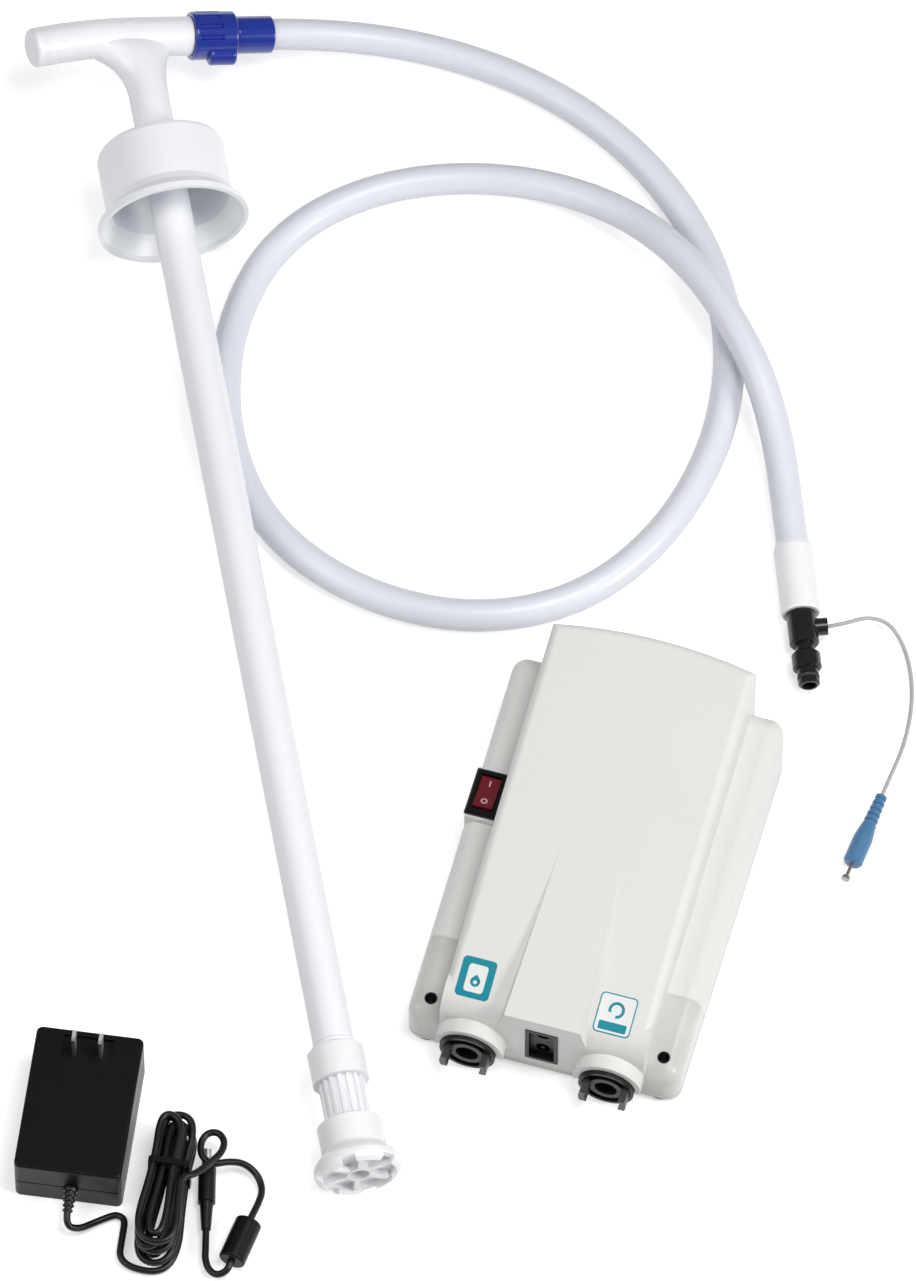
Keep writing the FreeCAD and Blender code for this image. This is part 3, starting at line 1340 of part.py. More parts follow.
def make_cord_hank():
    route = hank_route()
    tube = routed_tube("hank", route, cord_diameter)
    path, radii = path_through(route)
    print(f"hank: least gap {least_gap(path, cord_diameter, 12):.2f} mm, {len(route)} points")
    place = hank_placement()
    write_node("cord_hank", moved(tube, place))
    half = (hank_waist_inner + (hank_slots - 1) * hank_waist_pitch + hank_stagger
            + cord_diameter / 2 + tie_side_gap)
    low = hank_height(0) - cord_diameter / 2 - tie_gap
    high = hank_height(hank_layers - 1) + cord_diameter / 2 + tie_gap
    thick = tie_thickness
    outer = box((-half - thick, -tie_width / 2, low - thick), (half + thick, tie_width / 2, high + thick))
    outer = outer.makeFillet(2.2, [e for e in outer.Edges
                                   if abs(e.Vertexes[0].Y - e.Vertexes[-1].Y) > 1])
    inner = box((-half, -tie_width, low), (half, tie_width, high))
    inner = inner.makeFillet(1.5, [e for e in inner.Edges
                                   if abs(e.Vertexes[0].Y - e.Vertexes[-1].Y) > 1])
    write_node("hank_tie", moved(outer.cut(inner), place))
    return [(place.multVec(Vector(*end)), place.Rotation.multVec(unit(near, end)))
            for near, end in ((route[1], route[0]), (route[-2], route[-1]))]


def make_adaptor_cord(relief):
    """Two free stretches; each first and last run lies in line with the piece it meets."""
    tip, tip_ahead = relief
    (hank_in, in_ahead), (hank_out, out_ahead) = make_cord_hank()
    supply = [tip, tip + tip_ahead * 6.4] + supply_route_middle + [hank_in + in_ahead * 6.0, hank_in]
    supply = [tuple(p) for p in supply]
    print("supply route", [tuple(round(c, 1) for c in p) for p in supply])
    write_node("supply_cord", routed_tube("supply cord", supply, cord_diameter))
    turn = math.radians(plug_direction_turn)
    along = Vector(-math.sin(turn), math.cos(turn), 0)
    route = [hank_out, hank_out + out_ahead * 7.0] + plug_route_middle
    route += [ferrite_start, ferrite_end] + turn_route_middle
    route += [Vector(*plug_start) - along * 11.0, plug_start]
    route = [tuple(p) for p in route]
    print("plug route", [tuple(round(c, 1) for c in p) for p in route])
    cord = routed_tube("plug cord", route, cord_diameter)
    write_node("plug_cord", cord)
    start, end = Vector(*ferrite_start), Vector(*ferrite_end)
    along_core = (end - start).normalize()
    shell = Part.makeCylinder(ferrite_radius, (end - start).Length * 0.86,
                              start + along_core * 1.8, along_core)
    shell = shell.makeFillet(ferrite_edge, [e for e in shell.Edges if len(e.Vertexes) == 1])
    bore = Part.makeCylinder(cord_diameter / 2 + ferrite_gap, 60, start - along_core * 10, along_core)
    write_node("ferrite_core", shell.cut(bore))
    plug = turned([(0, 0), (plug_relief_tip_radius, 0), (plug_relief_root_radius, plug_relief_length),
                   (plug_body_radius, plug_relief_length), (plug_body_radius, plug_relief_length
                                                            + plug_body_length - 0.8),
                   (plug_body_radius - 0.8, plug_relief_length + plug_body_length),
                   (0, plug_relief_length + plug_body_length)], plug_start, tuple(along))
    write_node("dc_plug", plug)
    tip = Vector(*plug_start) + along * (plug_relief_length + plug_body_length)
    barrel = Part.makeCylinder(barrel_radius, barrel_length, tip, along)
    barrel = barrel.cut(Part.makeCylinder(barrel_bore_radius, barrel_length, tip + along * 1.5, along))
    write_node("dc_barrel", barrel)


os.makedirs("parts", exist_ok=True)
make_pump()
make_wand()
make_hose()
make_float_lead()
make_adaptor_cord(make_adaptor())
for name, shape in sorted(nodes.items()):
    if not shape.isValid():
        print("not valid:", name)
print(len(nodes), "nodes,", sum(len(s.Solids) for s in nodes.values()), "solids")
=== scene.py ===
import math

import bmesh
import bpy
from mathutils import Matrix, Vector
from mathutils.bvhtree import BVHTree


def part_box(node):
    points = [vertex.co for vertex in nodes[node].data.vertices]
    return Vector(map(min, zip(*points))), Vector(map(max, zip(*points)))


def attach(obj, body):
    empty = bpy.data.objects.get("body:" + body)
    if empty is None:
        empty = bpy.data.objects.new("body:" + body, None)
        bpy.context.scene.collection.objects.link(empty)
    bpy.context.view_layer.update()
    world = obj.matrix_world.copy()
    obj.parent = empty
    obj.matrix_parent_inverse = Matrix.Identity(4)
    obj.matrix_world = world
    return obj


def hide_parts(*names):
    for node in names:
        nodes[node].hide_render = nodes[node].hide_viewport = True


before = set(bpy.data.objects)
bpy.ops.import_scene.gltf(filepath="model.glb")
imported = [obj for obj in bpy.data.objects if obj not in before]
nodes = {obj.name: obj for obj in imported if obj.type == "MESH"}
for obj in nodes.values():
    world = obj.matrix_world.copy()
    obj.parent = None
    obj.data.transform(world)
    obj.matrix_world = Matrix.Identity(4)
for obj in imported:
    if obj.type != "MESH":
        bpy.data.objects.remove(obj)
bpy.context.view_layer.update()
scene = bpy.context.scene


# The picture's middle lies near the top left of the pump.
def new_object(name, data):
    """Links new data into the scene as an object."""
    piece = bpy.data.objects.new(name, data)
    scene.collection.objects.link(piece)
    return piece


def stand_at(thing, place, aim):
    """Puts a camera or a lamp at a place and points it at its aim."""
    thing.location = place
    thing.rotation_euler = (Vector(aim) - Vector(place)).to_track_quat("-Z", "Y").to_euler()


camera = new_object("camera", bpy.data.cameras.new("camera"))
stand_at(camera, place=(0.8335, -3.1473, 6.1223), aim=(-0.1019, 0.1148, 0.0))
camera.data.sensor_fit = "VERTICAL"
camera.data.sensor_height = 36.0
camera.data.lens = 409.8
camera.data.clip_end = 40.0
scene.camera = camera
scene.view_settings.view_transform = "Standard"


# The studio: weak daylight from all round, a soft lamp nearly overhead, a lower one on the right
# that brightens the right flanks, and a wide one on the left. The floor is a plain pale sheet
# that shows nearly white, as it also glows a little where it is seen, and keeps soft shadows.
def soft_lamp(name, place, size, watts):
    lamp = bpy.data.lights.new(name, "AREA")
    lamp.shape = "SQUARE"
    lamp.size = size
    lamp.energy = watts
    stand_at(new_object(name, lamp), place, aim=(-0.1, 0.05, 0.0))


def set_inputs(node, inputs):
    """Gives each input of a shader node a value, or links it to another node's socket."""
    for socket, value in inputs.items():
        if isinstance(value, bpy.types.NodeSocket):
            node.id_data.links.new(value, node.inputs[socket])
        else:
            node.inputs[socket].default_value = value
    return node


def add_node(tree, kind, inputs=None, **settings):
    """A new shader node with its settings and inputs."""
    node = tree.nodes.new(kind)
    for name, value in settings.items():
        setattr(node, name, value)
    return set_inputs(node, inputs or {})


def math_step(tree, operation, *terms):
    """The result of one math node; each term is a number or a socket."""
    step = add_node(tree, "ShaderNodeMath", dict(enumerate(terms)), operation=operation)
    return step.outputs[0]


def new_material(name):
    """A material with the tree and the Principled shader in it."""
    material = bpy.data.materials.new(name)
    material.use_nodes = True
    return material, material.node_tree, material.node_tree.nodes["Principled BSDF"]


soft_lamp("lamp_above", place=(0.55, 0.05, 2.4), size=0.9, watts=25.0)
soft_lamp("lamp_right", place=(1.95, -0.2, 1.35), size=0.7, watts=26.0)
soft_lamp("lamp_left", place=(-1.5, -0.8, 1.9), size=1.4, watts=15.5)

daylight = bpy.data.worlds.new("studio_air")
daylight.use_nodes = True
set_inputs(daylight.node_tree.nodes["Background"], {"Color": (1.0, 1.0, 1.0, 1.0),
                                                    "Strength": 0.22})
scene.world = daylight

floor_reach, floor_level = 4.0, -0.0003
floor_mesh = bpy.data.meshes.new("floor_sheet")
floor_mesh.from_pydata([(x * floor_reach, y * floor_reach, floor_level)
                        for x, y in ((-1, -1), (1, -1), (1, 1), (-1, 1))], [], [(0, 1, 2, 3)])
floor_sheet = new_object("floor_sheet", floor_mesh)
floor_paint, tree, shader = new_material("floor_paint")
rays = add_node(tree, "ShaderNodeLightPath").outputs
seen = math_step(tree, "MAXIMUM", rays["Is Camera Ray"], rays["Is Glossy Ray"])
seen = math_step(tree, "MAXIMUM", seen, rays["Is Transmission Ray"])
floor_glow = 0.50
set_inputs(shader, {"Base Color": (0.84, 0.84, 0.84, 1.0), "Roughness": 0.9,
                    "Specular IOR Level": 0.1, "Emission Color": (1.0, 1.0, 1.0, 1.0),
                    "Emission Strength": math_step(tree, "MULTIPLY", seen, floor_glow)})
floor_mesh.materials.append(floor_paint)


# The upper housing: one moulding in warm off-white plastic with a fine spark texture. Its hood
# slopes to the ports, with a raised middle between two lobes and a lower wing on each side.
def mix_colors(tree, share, first, second, **settings):
    """The colour that one mix node makes of two, by the share of the second."""
    mix = add_node(tree, "ShaderNodeMix", data_type="RGBA", **settings)
    return set_inputs(mix, {"Factor": share, "A": first, "B": second}).outputs["Result"]


def moulded_surface():
    """Node group for moulded plastic: slight tone changes, a fine grain and uneven gloss."""
    group = bpy.data.node_groups.new("moulded_surface", "ShaderNodeTree")
    group.interface.new_socket("Color", in_out="INPUT", socket_type="NodeSocketColor")
    for name in ("Tone", "Grain Scale", "Grain Depth", "Gloss"):
        group.interface.new_socket(name, in_out="INPUT", socket_type="NodeSocketFloat")
    for name, kind in (("Color", "NodeSocketColor"), ("Roughness", "NodeSocketFloat"),
                       ("Normal", "NodeSocketVector")):
        group.interface.new_socket(name, in_out="OUTPUT", socket_type=kind)
    cloud_scale, gloss_spread, grain_height = 22.0, 0.08, 0.0002
    given = add_node(group, "NodeGroupInput").outputs
    place = add_node(group, "ShaderNodeTexCoord").outputs["Object"]
    cloud = add_node(group, "ShaderNodeTexNoise",
                     {"Vector": place, "Scale": cloud_scale, "Detail": 3.0})
    grain = add_node(group, "ShaderNodeTexNoise",
                     {"Vector": place, "Scale": given["Grain Scale"], "Detail": 2.0})
    centred = math_step(group, "SUBTRACT", cloud.outputs["Fac"], 0.5)
    tone = math_step(group, "MULTIPLY_ADD", centred, given["Tone"], 1.0)
    bump = add_node(group, "ShaderNodeBump", {
        "Distance": grain_height, "Strength": given["Grain Depth"], "Height": grain.outputs["Fac"]})
    add_node(group, "NodeGroupOutput", {
        "Color": mix_colors(group, 1.0, given["Color"], tone, blend_type="MULTIPLY"),
        "Roughness": math_step(group, "MULTIPLY_ADD", centred, gloss_spread, given["Gloss"]),
        "Normal": bump.outputs["Normal"]})
    return group


moulded_group = moulded_surface()


def moulded_plastic(name, color, gloss, grain=1500.0, depth=0.15, tone=0.03, painted_shade_share=0.0, **sockets):
    """A plastic in one colour, with painted shade that darkens it by the given share where it
    turns away from the eye; further numbers go on the Principled shader's own sockets."""
    material, tree, shader = new_material(name)
    surface = add_node(tree, "ShaderNodeGroup", node_tree=moulded_group)
    set_inputs(surface, {"Color": (*color, 1.0), "Tone": tone, "Grain Scale": grain,
                         "Grain Depth": depth, "Gloss": gloss})
    shown = surface.outputs["Color"]
    # Painted shade: where the surface turns away from the eye, its colour is mixed toward a darker,
    # slightly blue tint of itself. This stands in for the shade along a rounded part's edges.
    if painted_shade_share:
        turned_away = add_node(tree, "ShaderNodeLayerWeight", {"Blend": 0.22}).outputs["Facing"]
        painted_shade_tint = [part * share for part, share in zip(color, (0.35, 0.37, 0.40))]
        shown = mix_colors(tree, math_step(tree, "MULTIPLY", turned_away, painted_shade_share), shown, (*painted_shade_tint, 1.0))
    set_inputs(shader, {"Base Color": shown, "Roughness": surface.outputs["Roughness"],
                        "Normal": surface.outputs["Normal"], "Subsurface Radius": (1.0, 1.0, 1.0)})
    set_inputs(shader, {socket.replace("_", " "): value for socket, value in sockets.items()})
    return material


def finish(material, *names):
    """Gives CAD pieces their material."""
    for name in names:
        mesh = nodes[name].data
        mesh.materials.clear()
        mesh.materials.append(material)


finish(moulded_plastic("housing_white", (0.735, 0.73, 0.712), gloss=0.46, grain=1800.0),
       "upper_housing")

# The lobes' labels: two thin printed films over the ports, one teal with a white panel and a
# drop, one white with a teal outline, a ring and a bar. They follow the housing's surface.
housing_copy = bmesh.new()
housing_copy.from_mesh(nodes["upper_housing"].data)
housing_tree = BVHTree.FromBMesh(housing_copy)
housing_copy.free()


def lobe_label(name, low, high, material):
    """A film between two corners of its plan, in millimetres, with UVs in millimetres."""
    columns, rows = 14, 16
    start_height, film_lift = 0.2, 0.00012
    points, places = [], []
    for j in range(rows + 1):
        for i in range(columns + 1):
            x = low[0] + (high[0] - low[0]) * i / columns
            y = low[1] + (high[1] - low[1]) * j / rows
            start = Vector((x / 1000, y / 1000, start_height))
            place, normal = housing_tree.ray_cast(start, Vector((0, 0, -1)))[:2]
            points.append(place + normal * film_lift)
            places.append((x - low[0], y - low[1]))
    faces = [(k, k + 1, k + columns + 2, k + columns + 1) for j in range(rows)
             for k in range(j * (columns + 1), j * (columns + 1) + columns)]
    film = bpy.data.meshes.new(name)
    film.from_pydata(points, [], faces)
    prints = film.uv_layers.new(name="print")
    for loop in film.loops:
        prints.data[loop.index].uv = places[loop.vertex_index]
    film.polygons.foreach_set("use_smooth", [True] * len(film.polygons))
    film.materials.append(material)
    label = new_object(name, film)
    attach(label, "pump_and_kit")


def vector_steps(tree, vector, *steps):
    """Runs a vector through vector math nodes; the length, if asked for, comes last."""
    for operation, *value in steps:
        step = add_node(tree, "ShaderNodeVectorMath", dict(enumerate([vector, *value])),
                        operation=operation)
        vector = step.outputs["Value" if operation == "LENGTH" else "Vector"]
    return vector


def film_material(name, size, ground, prints):
    """A glossy film cut to a round box. Each print on it is a colour and a round box: its middle,
    half its size, its corners' radius and its turn in degrees, with lengths in millimetres."""
    material, tree, shader = new_material(name)
    uv = add_node(tree, "ShaderNodeUVMap", uv_map="print").outputs["UV"]
    blur, corner = 0.08, 2.2

    def round_box(centre, half, radius, turn=0.0):
        from_centre = vector_steps(tree, uv, ("SUBTRACT", (*centre, 0.0)))
        turned = add_node(tree, "ShaderNodeVectorRotate", {
            "Vector": from_centre, "Angle": math.radians(turn)}, rotation_type="Z_AXIS")
        distance = vector_steps(
            tree, turned.outputs["Vector"], ("ABSOLUTE",),
            ("SUBTRACT", (half[0] - radius, half[1] - radius, 1.0)),
            ("MAXIMUM", (0.0, 0.0, 0.0)), ("LENGTH",))
        fade = add_node(tree, "ShaderNodeMapRange", {
            "Value": distance, "From Min": radius + blur, "From Max": radius - blur})
        return fade.outputs["Result"]

    color = (*ground, 1.0)
    for mark_color, *shape in prints:
        color = mix_colors(tree, round_box(*shape), color, (*mark_color, 1.0))
    centre = (size[0] / 2, size[1] / 2)
    set_inputs(shader, {"Base Color": color, "Alpha": round_box(centre, centre, corner),
                        "Roughness": 0.32, "Specular IOR Level": 0.3})
    return material


teal, film_white = (0.002, 0.25, 0.32), (0.80, 0.81, 0.80)
drop_film = film_material("drop_film", (16.5, 19.0), teal, [
    (film_white, (8.25, 9.3), (4.7, 6.6), 1.6),
    (teal, (8.25, 7.9), (2.4, 2.4), 2.4), (teal, (8.25, 9.6), (1.2, 1.2), 0.2, 45.0),
    (film_white, (8.25, 7.6), (0.9, 0.9), 0.9)])
ring_film = film_material("ring_film", (18.0, 19.0), teal, [
    (film_white, (9.0, 9.5), (8.4, 8.9), 1.7),
    (teal, (9.0, 3.6), (6.8, 2.1), 0.7), (teal, (9.0, 11.6), (3.9, 3.9), 3.9),
    (film_white, (9.0, 11.6), (2.5, 2.5), 2.5), (film_white, (7.0, 8.6), (2.2, 1.6), 0.4)])
lobe_label("drop_label", (-45.0, -91.0), (-28.5, -72.0), drop_film)
lobe_label("ring_label", (22.5, -91.5), (40.5, -72.5), ring_film)

# The base: a flat plate in the same plastic, screwed up into the housing from below with four
# steel screws, on four soft rubber feet. The front feet and pads share the mounting holes.
foot_rubber = moulded_plastic("foot_rubber", (0.05, 0.05, 0.05), gloss=0.8, grain=900.0, depth=0.3)
finish(moulded_plastic("base_plastic", (0.62, 0.61, 0.58), gloss=0.5), "base_plate")
finish(foot_rubber, "rubber_feet")


def brushed_metal(name, color, roughness, along=(1.0, 1.0, 0.04)):
    """Metal with fine lines along one axis; a small number in along is the lines' direction."""
    material, tree, shader = new_material(name)
    place = add_node(tree, "ShaderNodeTexCoord").outputs["Object"]
    stretch = add_node(tree, "ShaderNodeMapping", {"Vector": place, "Scale": along})
    lines = add_node(tree, "ShaderNodeTexNoise", {"Vector": stretch.outputs["Vector"],
                                                  "Scale": 900.0})
    spread = add_node(tree, "ShaderNodeMapRange", {
        "Value": lines.outputs["Fac"], "To Min": roughness - 0.07, "To Max": roughness + 0.09})
    set_inputs(shader, {"Metallic": 1.0, "Base Color": (*color, 1.0),
                        "Roughness": spread.outputs["Result"]})
    return material


screw_steel = brushed_metal("screw_steel", (0.52, 0.51, 0.50), roughness=0.35)
finish(screw_steel, "housing_screws")


# The corner pads: translucent grey mouldings that fill the wings' front corners. Each has a boss
# with a screw hole, through which the pump is fixed down; the shade inside each hole is painted
# black.
def mark_plastic(material, distance, centre, reach, mark_color):
    """Gives a moulded plastic another colour where the distance is within reach of centre."""
    tree = material.node_tree
    base = tree.nodes["Principled BSDF"].inputs["Base Color"]
    within = math_step(tree, "COMPARE", distance, centre, reach)
    marked = mix_colors(tree, within, base.links[0].from_socket, (*mark_color, 1.0))
    tree.links.new(marked, base)


pad_smoke = moulded_plastic("pad_smoke", (0.80, 0.79, 0.765), gloss=0.3, depth=0.05, tone=0.45,
                            Transmission_Weight=0.3, IOR=1.49)
# Painted shade: the pad is painted near black within a small radius of each hole's axis. This
# stands in for the shade inside the screw holes.
hole_place, hole_shade_radius = (0.057, 0.088, 0.0), 0.0031
pad_place = add_node(pad_smoke.node_tree, "ShaderNodeTexCoord").outputs["Object"]
from_hole = vector_steps(pad_smoke.node_tree, pad_place, ("ABSOLUTE",), ("SUBTRACT", hole_place),
                         ("MULTIPLY", (1.0, 1.0, 0.0)), ("LENGTH",))
mark_plastic(pad_smoke, from_hole, 0.0, hole_shade_radius, mark_color=(0.01, 0.01, 0.01))
finish(pad_smoke, "mounting_pads")

# The ports: black glass-filled mouldings pushed into the front of the housing, each with a
# bored sleeve for the fitting's nose and a dark slide clip that locks it.
port_black = moulded_plastic("port_black", (0.010, 0.010, 0.011), gloss=0.42, grain=1200.0,
                             depth=0.25, Specular_IOR_Level=0.35)
finish(port_black, "inlet_port", "outlet_port")
finish(moulded_plastic("clip_dark", (0.035, 0.035, 0.037), gloss=0.35),
       "inlet_clip", "outlet_clip")

# The power socket: a black block in the housing's front, between the ports. It has two jack
# wells, one above the other, and shares the ports' plastic.
finish(port_black, "power_socket")

# The switch: a black frame on the left wing and a dark red see-through rocker in it, with a pale
# bar and ring on its two halves.
frame_black = moulded_plastic("frame_black", (0.006, 0.006, 0.007), gloss=0.3, depth=0.08,
                              Specular_IOR_Level=0.2)
rocker_red = moulded_plastic("rocker_red", (0.19, 0.004, 0.016), gloss=0.1, depth=0.0, tone=0.9,
                             Transmission_Weight=0.1, IOR=1.49, Coat_Weight=0.5)
finish(frame_black, "switch_body")
finish(rocker_red, "switch_rocker")
low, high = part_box("switch_rocker")
middle = (low + high) / 2
mark_offset, half_bar, ring_radius, half_line = 0.0052, 0.0012, 0.0013, 0.0004
tree = rocker_red.node_tree
rocker_place = add_node(tree, "ShaderNodeTexCoord").outputs["Object"]
for ahead, half_length, radius in ((mark_offset, half_bar, 0.0), (-mark_offset, 0.0, ring_radius)):
    from_mark = vector_steps(
        tree, rocker_place, ("SUBTRACT", (middle.x, middle.y + ahead, middle.z)), ("ABSOLUTE",),
        ("SUBTRACT", (0.0, half_length, 1.0)), ("MAXIMUM", (0.0, 0.0, 0.0)), ("LENGTH",))
    mark_plastic(rocker_red, from_mark, radius, half_line, mark_color=(0.72, 0.42, 0.45))

# The motor: a steel can with a plastic end bell, ball bearings, two ferrite magnets and a
# wound armature on a bright shaft.
motor_steel = brushed_metal("motor_steel", (0.56, 0.55, 0.54), roughness=0.38,
                            along=(1.0, 0.05, 1.0))
bright_steel = brushed_metal("bright_steel", (0.72, 0.71, 0.70), roughness=0.2,
                             along=(1.0, 0.1, 1.0))
winding_copper = brushed_metal("winding_copper", (0.62, 0.28, 0.12), roughness=0.4,
                               along=(1.0, 0.02, 1.0))
bell_plastic = moulded_plastic("bell_plastic", (0.06, 0.06, 0.06), gloss=0.45)
finish(motor_steel, "motor_can")
finish(bell_plastic, "motor_end_bell")
finish(bright_steel, "motor_bearings", "motor_shaft")
finish(moulded_plastic("magnet_ferrite", (0.06, 0.06, 0.065), gloss=0.55, depth=0.4),
       "motor_magnets")
finish(winding_copper, "armature")

# The drive: an angled cam on the shaft, a bearing round it and the wobble plate that pushes
# three pistons in turn, inside a square black housing.
finish(motor_steel, "drive_cam")
finish(bright_steel, "wobble_bearing")
finish(bell_plastic, "wobble_plate", "drive_housing")

# The pump end: diaphragm, white valve plate and black head, pulled together by four long
# screws. Clear tubes lead to the ports; a pressure switch sits on the head's side.
valve_white = moulded_plastic("valve_white", (0.80, 0.80, 0.78), gloss=0.45)
finish(moulded_plastic("diaphragm_rubber", (0.05, 0.05, 0.05), gloss=0.75, depth=0.3),
       "diaphragm")
finish(valve_white, "valve_plate", "pressure_switch")
finish(bell_plastic, "pump_head")
finish(screw_steel, "pump_screws")
finish(moulded_plastic("clear_vinyl", (0.78, 0.79, 0.78), gloss=0.25, depth=0.03,
                       Transmission_Weight=0.6, IOR=1.5), "internal_tubes")

# The carriage: a bent steel bracket on rubber mounts carries the motor, and a green circuit
# board stands beside it on four posts.
finish(motor_steel, "pump_bracket")
finish(foot_rubber, "motor_mounts")
finish(moulded_plastic("board_green", (0.03, 0.17, 0.07), gloss=0.35, grain=700.0, depth=0.1),
       "circuit_board")

# The wand's foot: a slotted strainer, a ribbed stem with the float ring on it and a collar
# that joins them to the tube, all in glossy white plastic. A reed switch lies in the stem.
foot_white = moulded_plastic("foot_white", (0.93, 0.935, 0.955), gloss=0.3, depth=0.06, painted_shade_share=0.3,
                             Subsurface_Weight=0.25, Subsurface_Scale=0.005)
float_white = moulded_plastic("float_white", (0.93, 0.935, 0.95), gloss=0.36, depth=0.06,
                              painted_shade_share=0.25, Subsurface_Weight=0.3, Subsurface_Scale=0.005)
finish(float_white, "foot_strainer", "float_ring")
finish(foot_white, "ribbed_stem", "foot_collar")
finish(frame_black, "reed_switch")

# The wand's tube: a plain white pipe with a small moulded ring above the collar. It is turned
# afresh round the wand's axis, with more facets than the CAD's own mesh. Its plastic has no grain
# and one even tone, as the two together made the tube look blotchy.
tube_white = moulded_plastic("tube_white", (0.92, 0.93, 0.965), gloss=0.34, grain=400.0,
                             depth=0.0, tone=0.0, painted_shade_share=0.3)
wand_foot = Vector((-0.0637, -0.1856, 0.021))
wand_axis = Vector((-0.44129757, 0.89683508, 0.03071296))
outer, ring, inner = 0.00985, 0.01055, 0.0079
ring_start, ring_low, ring_high = 0.016, 0.0168, 0.0176
lengths, steps = 40, 72
stations = [(v.co - wand_foot).dot(wand_axis) for v in nodes["wand_tube"].data.vertices]
bottom, top = min(stations), max(stations)
above_ring = bottom + ring_high
profile = [(outer, bottom), (outer, bottom + ring_start), (ring, bottom + ring_low)]
profile += [(outer, above_ring + (top - above_ring) * k / lengths) for k in range(lengths + 1)]
profile += [(inner, top - (top - bottom) * k / lengths) for k in range(lengths + 1)]
upright = wand_axis.to_track_quat("Z", "Y").to_matrix()
pipe = bpy.data.meshes.new("wand_pipe")
pipe.from_pydata(
    [wand_foot + upright @ Vector((radius * math.cos(math.tau * k / steps),
                                   radius * math.sin(math.tau * k / steps), station))
     for radius, station in profile for k in range(steps)], [],
    [(row * steps + k, row * steps + (k + 1) % steps,
      (row + 1) % len(profile) * steps + (k + 1) % steps, (row + 1) % len(profile) * steps + k)
     for row in range(len(profile)) for k in range(steps)])
pipe.polygons.foreach_set("use_smooth", [True] * len(pipe.polygons))
pipe.set_sharp_from_angle(angle=math.radians(35.0))
pipe.materials.append(tube_white)
wand_pipe = new_object("wand_pipe", pipe)
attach(wand_pipe, "pump_and_kit")
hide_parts("wand_tube")

# The bottle cap: a white cup that opens towards the foot and presses over a bottle's neck. A
# rubber grommet in its top grips the tube.
finish(moulded_plastic("cap_white", (0.94, 0.955, 0.99), gloss=0.32, depth=0.05, painted_shade_share=0.1,
                       Subsurface_Weight=0.15, Subsurface_Scale=0.004), "bottle_cap")
finish(moulded_plastic("grommet_rubber", (0.62, 0.63, 0.62), gloss=0.6), "cap_grommet")

# The handle: one white moulding whose neck flares into a drooping grip, closed by an end cap. It
# is shown by a merged copy of the CAD piece, in which all edges below 40 degrees are smooth.
handle_white = moulded_plastic("handle_white", (0.93, 0.94, 0.98), gloss=0.26, depth=0.04,
                               painted_shade_share=0.4, Subsurface_Weight=0.2, Subsurface_Scale=0.004)
merge_reach, sharp_angle = 0.000004, math.radians(40.0)
handle_mesh = nodes["t_handle"].data.copy()
merged = bmesh.new()
merged.from_mesh(handle_mesh)
bmesh.ops.remove_doubles(merged, verts=merged.verts, dist=merge_reach)
for face in merged.faces:
    face.smooth = True
for side in merged.edges:
    side.smooth = len(side.link_faces) == 2 and side.calc_face_angle(0.0) < sharp_angle
merged.to_mesh(handle_mesh)
merged.free()
if "custom_normal" in handle_mesh.attributes:
    handle_mesh.attributes.remove(handle_mesh.attributes["custom_normal"])
handle_mesh.materials.clear()
handle_mesh.materials.append(handle_white)
smooth_handle = new_object("t_handle_smooth", handle_mesh)
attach(smooth_handle, "pump_and_kit")
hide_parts("t_handle")
finish(handle_white, "handle_end_cap")

# The coupling: a fluted blue swivel nut and the barb behind it that holds the hose. Both are
# moulded in the same deep glossy blue.
finish(moulded_plastic("coupling_blue", (0.010, 0.032, 0.31), gloss=0.16, depth=0.06,
                       Coat_Weight=0.4), "swivel_nut", "hose_barb")


# The hose: milky vinyl, 15.6 mm thick. It leaves the barb, lies once round in a wide loop,
# crosses over its own first stretch and ends in a thicker white sleeve and the quick fitting.
def flexible_line(name, route, diameter, material):
    """A round cord whose NURBS line follows the route's points, given in millimetres."""
    curve = bpy.data.curves.new(name, "CURVE")
    curve.dimensions = "3D"
    spline = curve.splines.new("NURBS")
    spline.points.add(len(route) - 1)
    for point, place in zip(spline.points, route):
        point.co = (*(c / 1000.0 for c in place), 1.0)
    spline.order_u = 3
    spline.use_endpoint_u = True
    spline.resolution_u = 10
    curve.bevel_depth = diameter / 2000.0
    curve.bevel_resolution = 5
    curve.use_fill_caps = True
    curve.materials.append(material)
    return new_object(name, curve)


hose_vinyl = moulded_plastic("hose_vinyl", (0.78, 0.79, 0.855), gloss=0.34, grain=500.0,
                             depth=0.05, painted_shade_share=0.5, Subsurface_Weight=0.25, Subsurface_Scale=0.005)
hose_route = [
    (-280.278, 403.557, 22.545), (-253.53, 416.99, 14.53), (-199.6, 426.6, 8.3),
    (-143.5, 419.7, 7.8), (-91.4, 396.8, 7.8), (-48.4, 359.6, 7.8), (-19.2, 311.2, 7.8),
    (-9.2, 253.8, 7.8), (-19.7, 195.8, 7.8), (-49.2, 148.1, 7.8), (-98.0, 122.3, 7.8),
    (-156.3, 121.9, 7.8), (-209.2, 145.5, 7.8), (-243.2, 192.7, 7.8), (-256.2, 250.5, 7.8),
    (-245.8, 305.5, 7.8), (-206.7, 345.6, 7.8), (-150.7, 366.0, 8.2), (-94.0, 362.2, 14.0),
    (-46.3, 333.9, 27.2), (-6.7, 294.3, 27.0), (15.5, 262.5, 16.0), (35.6, 215.3, 9.8),
    (53.8, 168.7, 9.6),
]
delivery_hose = flexible_line("delivery_hose", hose_route, 15.6, hose_vinyl)
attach(delivery_hose, "pump_and_kit")
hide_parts("hose")
finish(moulded_plastic("sleeve_white", (0.92, 0.925, 0.94), gloss=0.4, grain=900.0, painted_shade_share=0.35),
       "hose_cuff")
finish(moulded_plastic("fitting_black", (0.009, 0.009, 0.010), gloss=0.24, depth=0.05),
       "quick_fitting")
finish(foot_rubber, "fitting_seal")

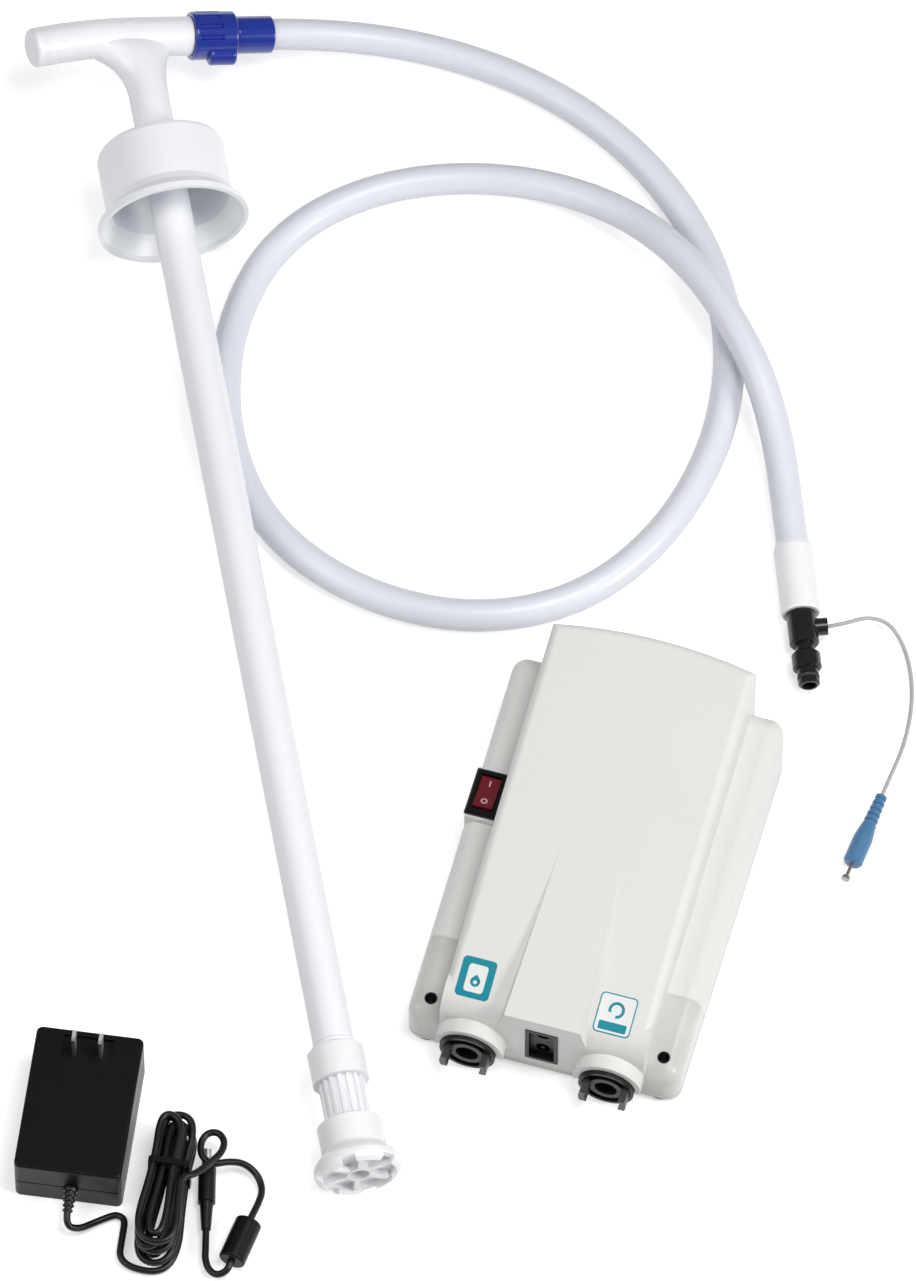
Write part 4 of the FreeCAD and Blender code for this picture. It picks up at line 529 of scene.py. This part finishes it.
# The float lead: a thin grey wire from the fitting's side boss to a ribbed light blue plug
# with a dull steel pin.
lead_grey = moulded_plastic("lead_grey", (0.46, 0.45, 0.44), gloss=0.45, grain=900.0)
lead_route = [
    (67.9, 165.9, 9.6), (75.5, 169.4, 10.4), (84.6, 176.6, 9.0), (94.6, 178.8, 5.0),
    (103.4, 172.0, 2.0), (110.6, 160.2, 1.2), (115.6, 146.4, 1.1), (118.3, 131.4, 1.1),
    (119.0, 115.6, 1.8), (117.7, 99.1, 4.5), (116.4, 86.2, 4.6),
]
float_wire = flexible_line("float_wire", lead_route, 2.0, lead_grey)
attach(float_wire, "pump_and_kit")
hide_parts("float_lead")
finish(moulded_plastic("plug_blue", (0.07, 0.19, 0.36), gloss=0.35), "lead_plug")
finish(brushed_metal("pin_steel", (0.34, 0.33, 0.33), roughness=0.3), "lead_pin")

# The wall adaptor: a black two-part case with a fine spark texture, two plated blades that
# stand out of a recess, and a ribbed relief where the cord leaves.
case_black = moulded_plastic("case_black", (0.0038, 0.004, 0.0056), gloss=0.36, grain=1400.0,
                             depth=0.2, Specular_IOR_Level=0.2)
blade_plate = brushed_metal("blade_plate", (0.90, 0.89, 0.87), roughness=0.38)
cord_black = moulded_plastic("cord_black", (0.006, 0.006, 0.007), gloss=0.36, grain=900.0,
                             depth=0.1, Specular_IOR_Level=0.4)
finish(case_black, "adaptor_case")
finish(blade_plate, "adaptor_blades")
finish(cord_black, "adaptor_relief")


# The adaptor's cord: thin black cable. A short stretch leads to a narrow hank of six layers,
# tied under its top, and the free end makes a small loop and passes a ferrite core to the plug.
def hank_points():
    """The hank's points, run by run, in millimetres; its waist is the tie."""
    slots, layers = 2, 6
    outer = slots - 1
    levels = (("bottom", 4.8, 5.8), ("waist", 2.15, 4.2), ("top", 3.9, 4.3))
    bottom_y, top_y, end_y, turn_step = -43.5, 28.0, -13.5, 4.3
    lowest_z, layer_step = 2.6, 3.9
    sway, stray, stray_turn, bottom_lag = 0.5, 1.8, 2.4, 2.0
    runs = [(side, slot, 0) for slot in range(outer, -1, -1) for side in (1, -1)]
    for layer in range(1, layers):
        if layer % 2:
            runs.append((1, 0, layer))
            runs += [(side, slot, layer) for slot in range(1, slots) for side in (-1, 1)]
        else:
            runs.append((-1, outer, layer))
            runs += [(side, slot, layer) for slot in range(outer - 1, -1, -1) for side in (1, -1)]
    points = []
    for index, (side, slot, layer) in enumerate(runs):
        climbs = index + 1 < len(runs) and runs[index + 1][2] > layer
        nested = (outer - slot) * turn_step
        stops = []
        for share, (level, nearest_x, slot_step) in enumerate(levels):
            rise = (share if side > 0 else 2 - share) / 2 if climbs else 0.0
            height = layer + rise
            x = side * (nearest_x + slot * slot_step) + sway * math.cos(math.pi * height)
            if level == "bottom":
                y = bottom_y + nested + stray * math.sin(stray_turn * height + bottom_lag)
            elif level == "top":
                y = top_y - nested + stray * math.sin(stray_turn * height)
            else:
                y = 0.0
            stops.append((x, y, lowest_z + layer_step * height))
        points += stops if side > 0 else stops[::-1]
    x, y, z = points[0]
    lowest_y = y - turn_step - stray
    points[0] = (x + 0.6, lowest_y, z)
    bottom, waist = points[-3], points[-2]
    share = (end_y - bottom[1]) / (waist[1] - bottom[1])
    points[-2:] = [tuple(b + (w - b) * share for b, w in zip(bottom, waist))]
    return [(-17.0, -30.0, z), (-16.4, lowest_y, z)] + points


lay = Matrix.Translation((-151.5, -203.5, 0.0)) @ Matrix.Rotation(math.radians(6.4), 4, "Z")
hank = [tuple(lay @ Vector(p)) for p in hank_points()]
adaptor_route = [
    (-192.1, -235.4, 9.6), (-191.2, -241.6, 8.3), (-185.6, -240.4, 4.2), (-178.6, -232.9, 2.0),
    (-171.8, -227.2, 2.0), (-168.3, -227.3, 2.3), (-165.9, -229.3, 2.6),
] + hank + [
    (-144.3, -209.3, 22.1), (-139.8, -205.6, 19.8), (-137.0, -200.6, 16.8), (-133.4, -193.6, 15.2),
    (-130.6, -187.0, 13.6), (-131.2, -180.4, 12.4), (-135.6, -176.6, 11.8), (-140.6, -178.4, 11.4),
    (-142.2, -184.0, 11.2), (-140.0, -190.4, 11.0), (-134.2, -193.6, 10.6), (-127.6, -189.0, 9.0),
    (-120.4, -186.2, 6.2), (-113.0, -188.8, 3.6), (-108.2, -195.8, 2.8), (-107.9, -204.6, 5.4),
    (-109.0, -213.6, 6.6), (-111.6, -239.4, 6.6), (-112.2, -242.8, 5.6), (-116.4, -245.6, 4.2),
    (-121.0, -243.4, 4.1), (-123.9, -238.6, 4.2), (-124.9, -234.5, 4.3), (-127.8, -223.9, 4.3),
]
adaptor_cord = flexible_line("adaptor_cord", adaptor_route, 3.4, cord_black)
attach(adaptor_cord, "pump_and_kit")
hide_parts("supply_cord", "cord_hank", "plug_cord")
finish(frame_black, "hank_tie")
finish(case_black, "ferrite_core")
finish(cord_black, "dc_plug")
finish(blade_plate, "dc_barrel")
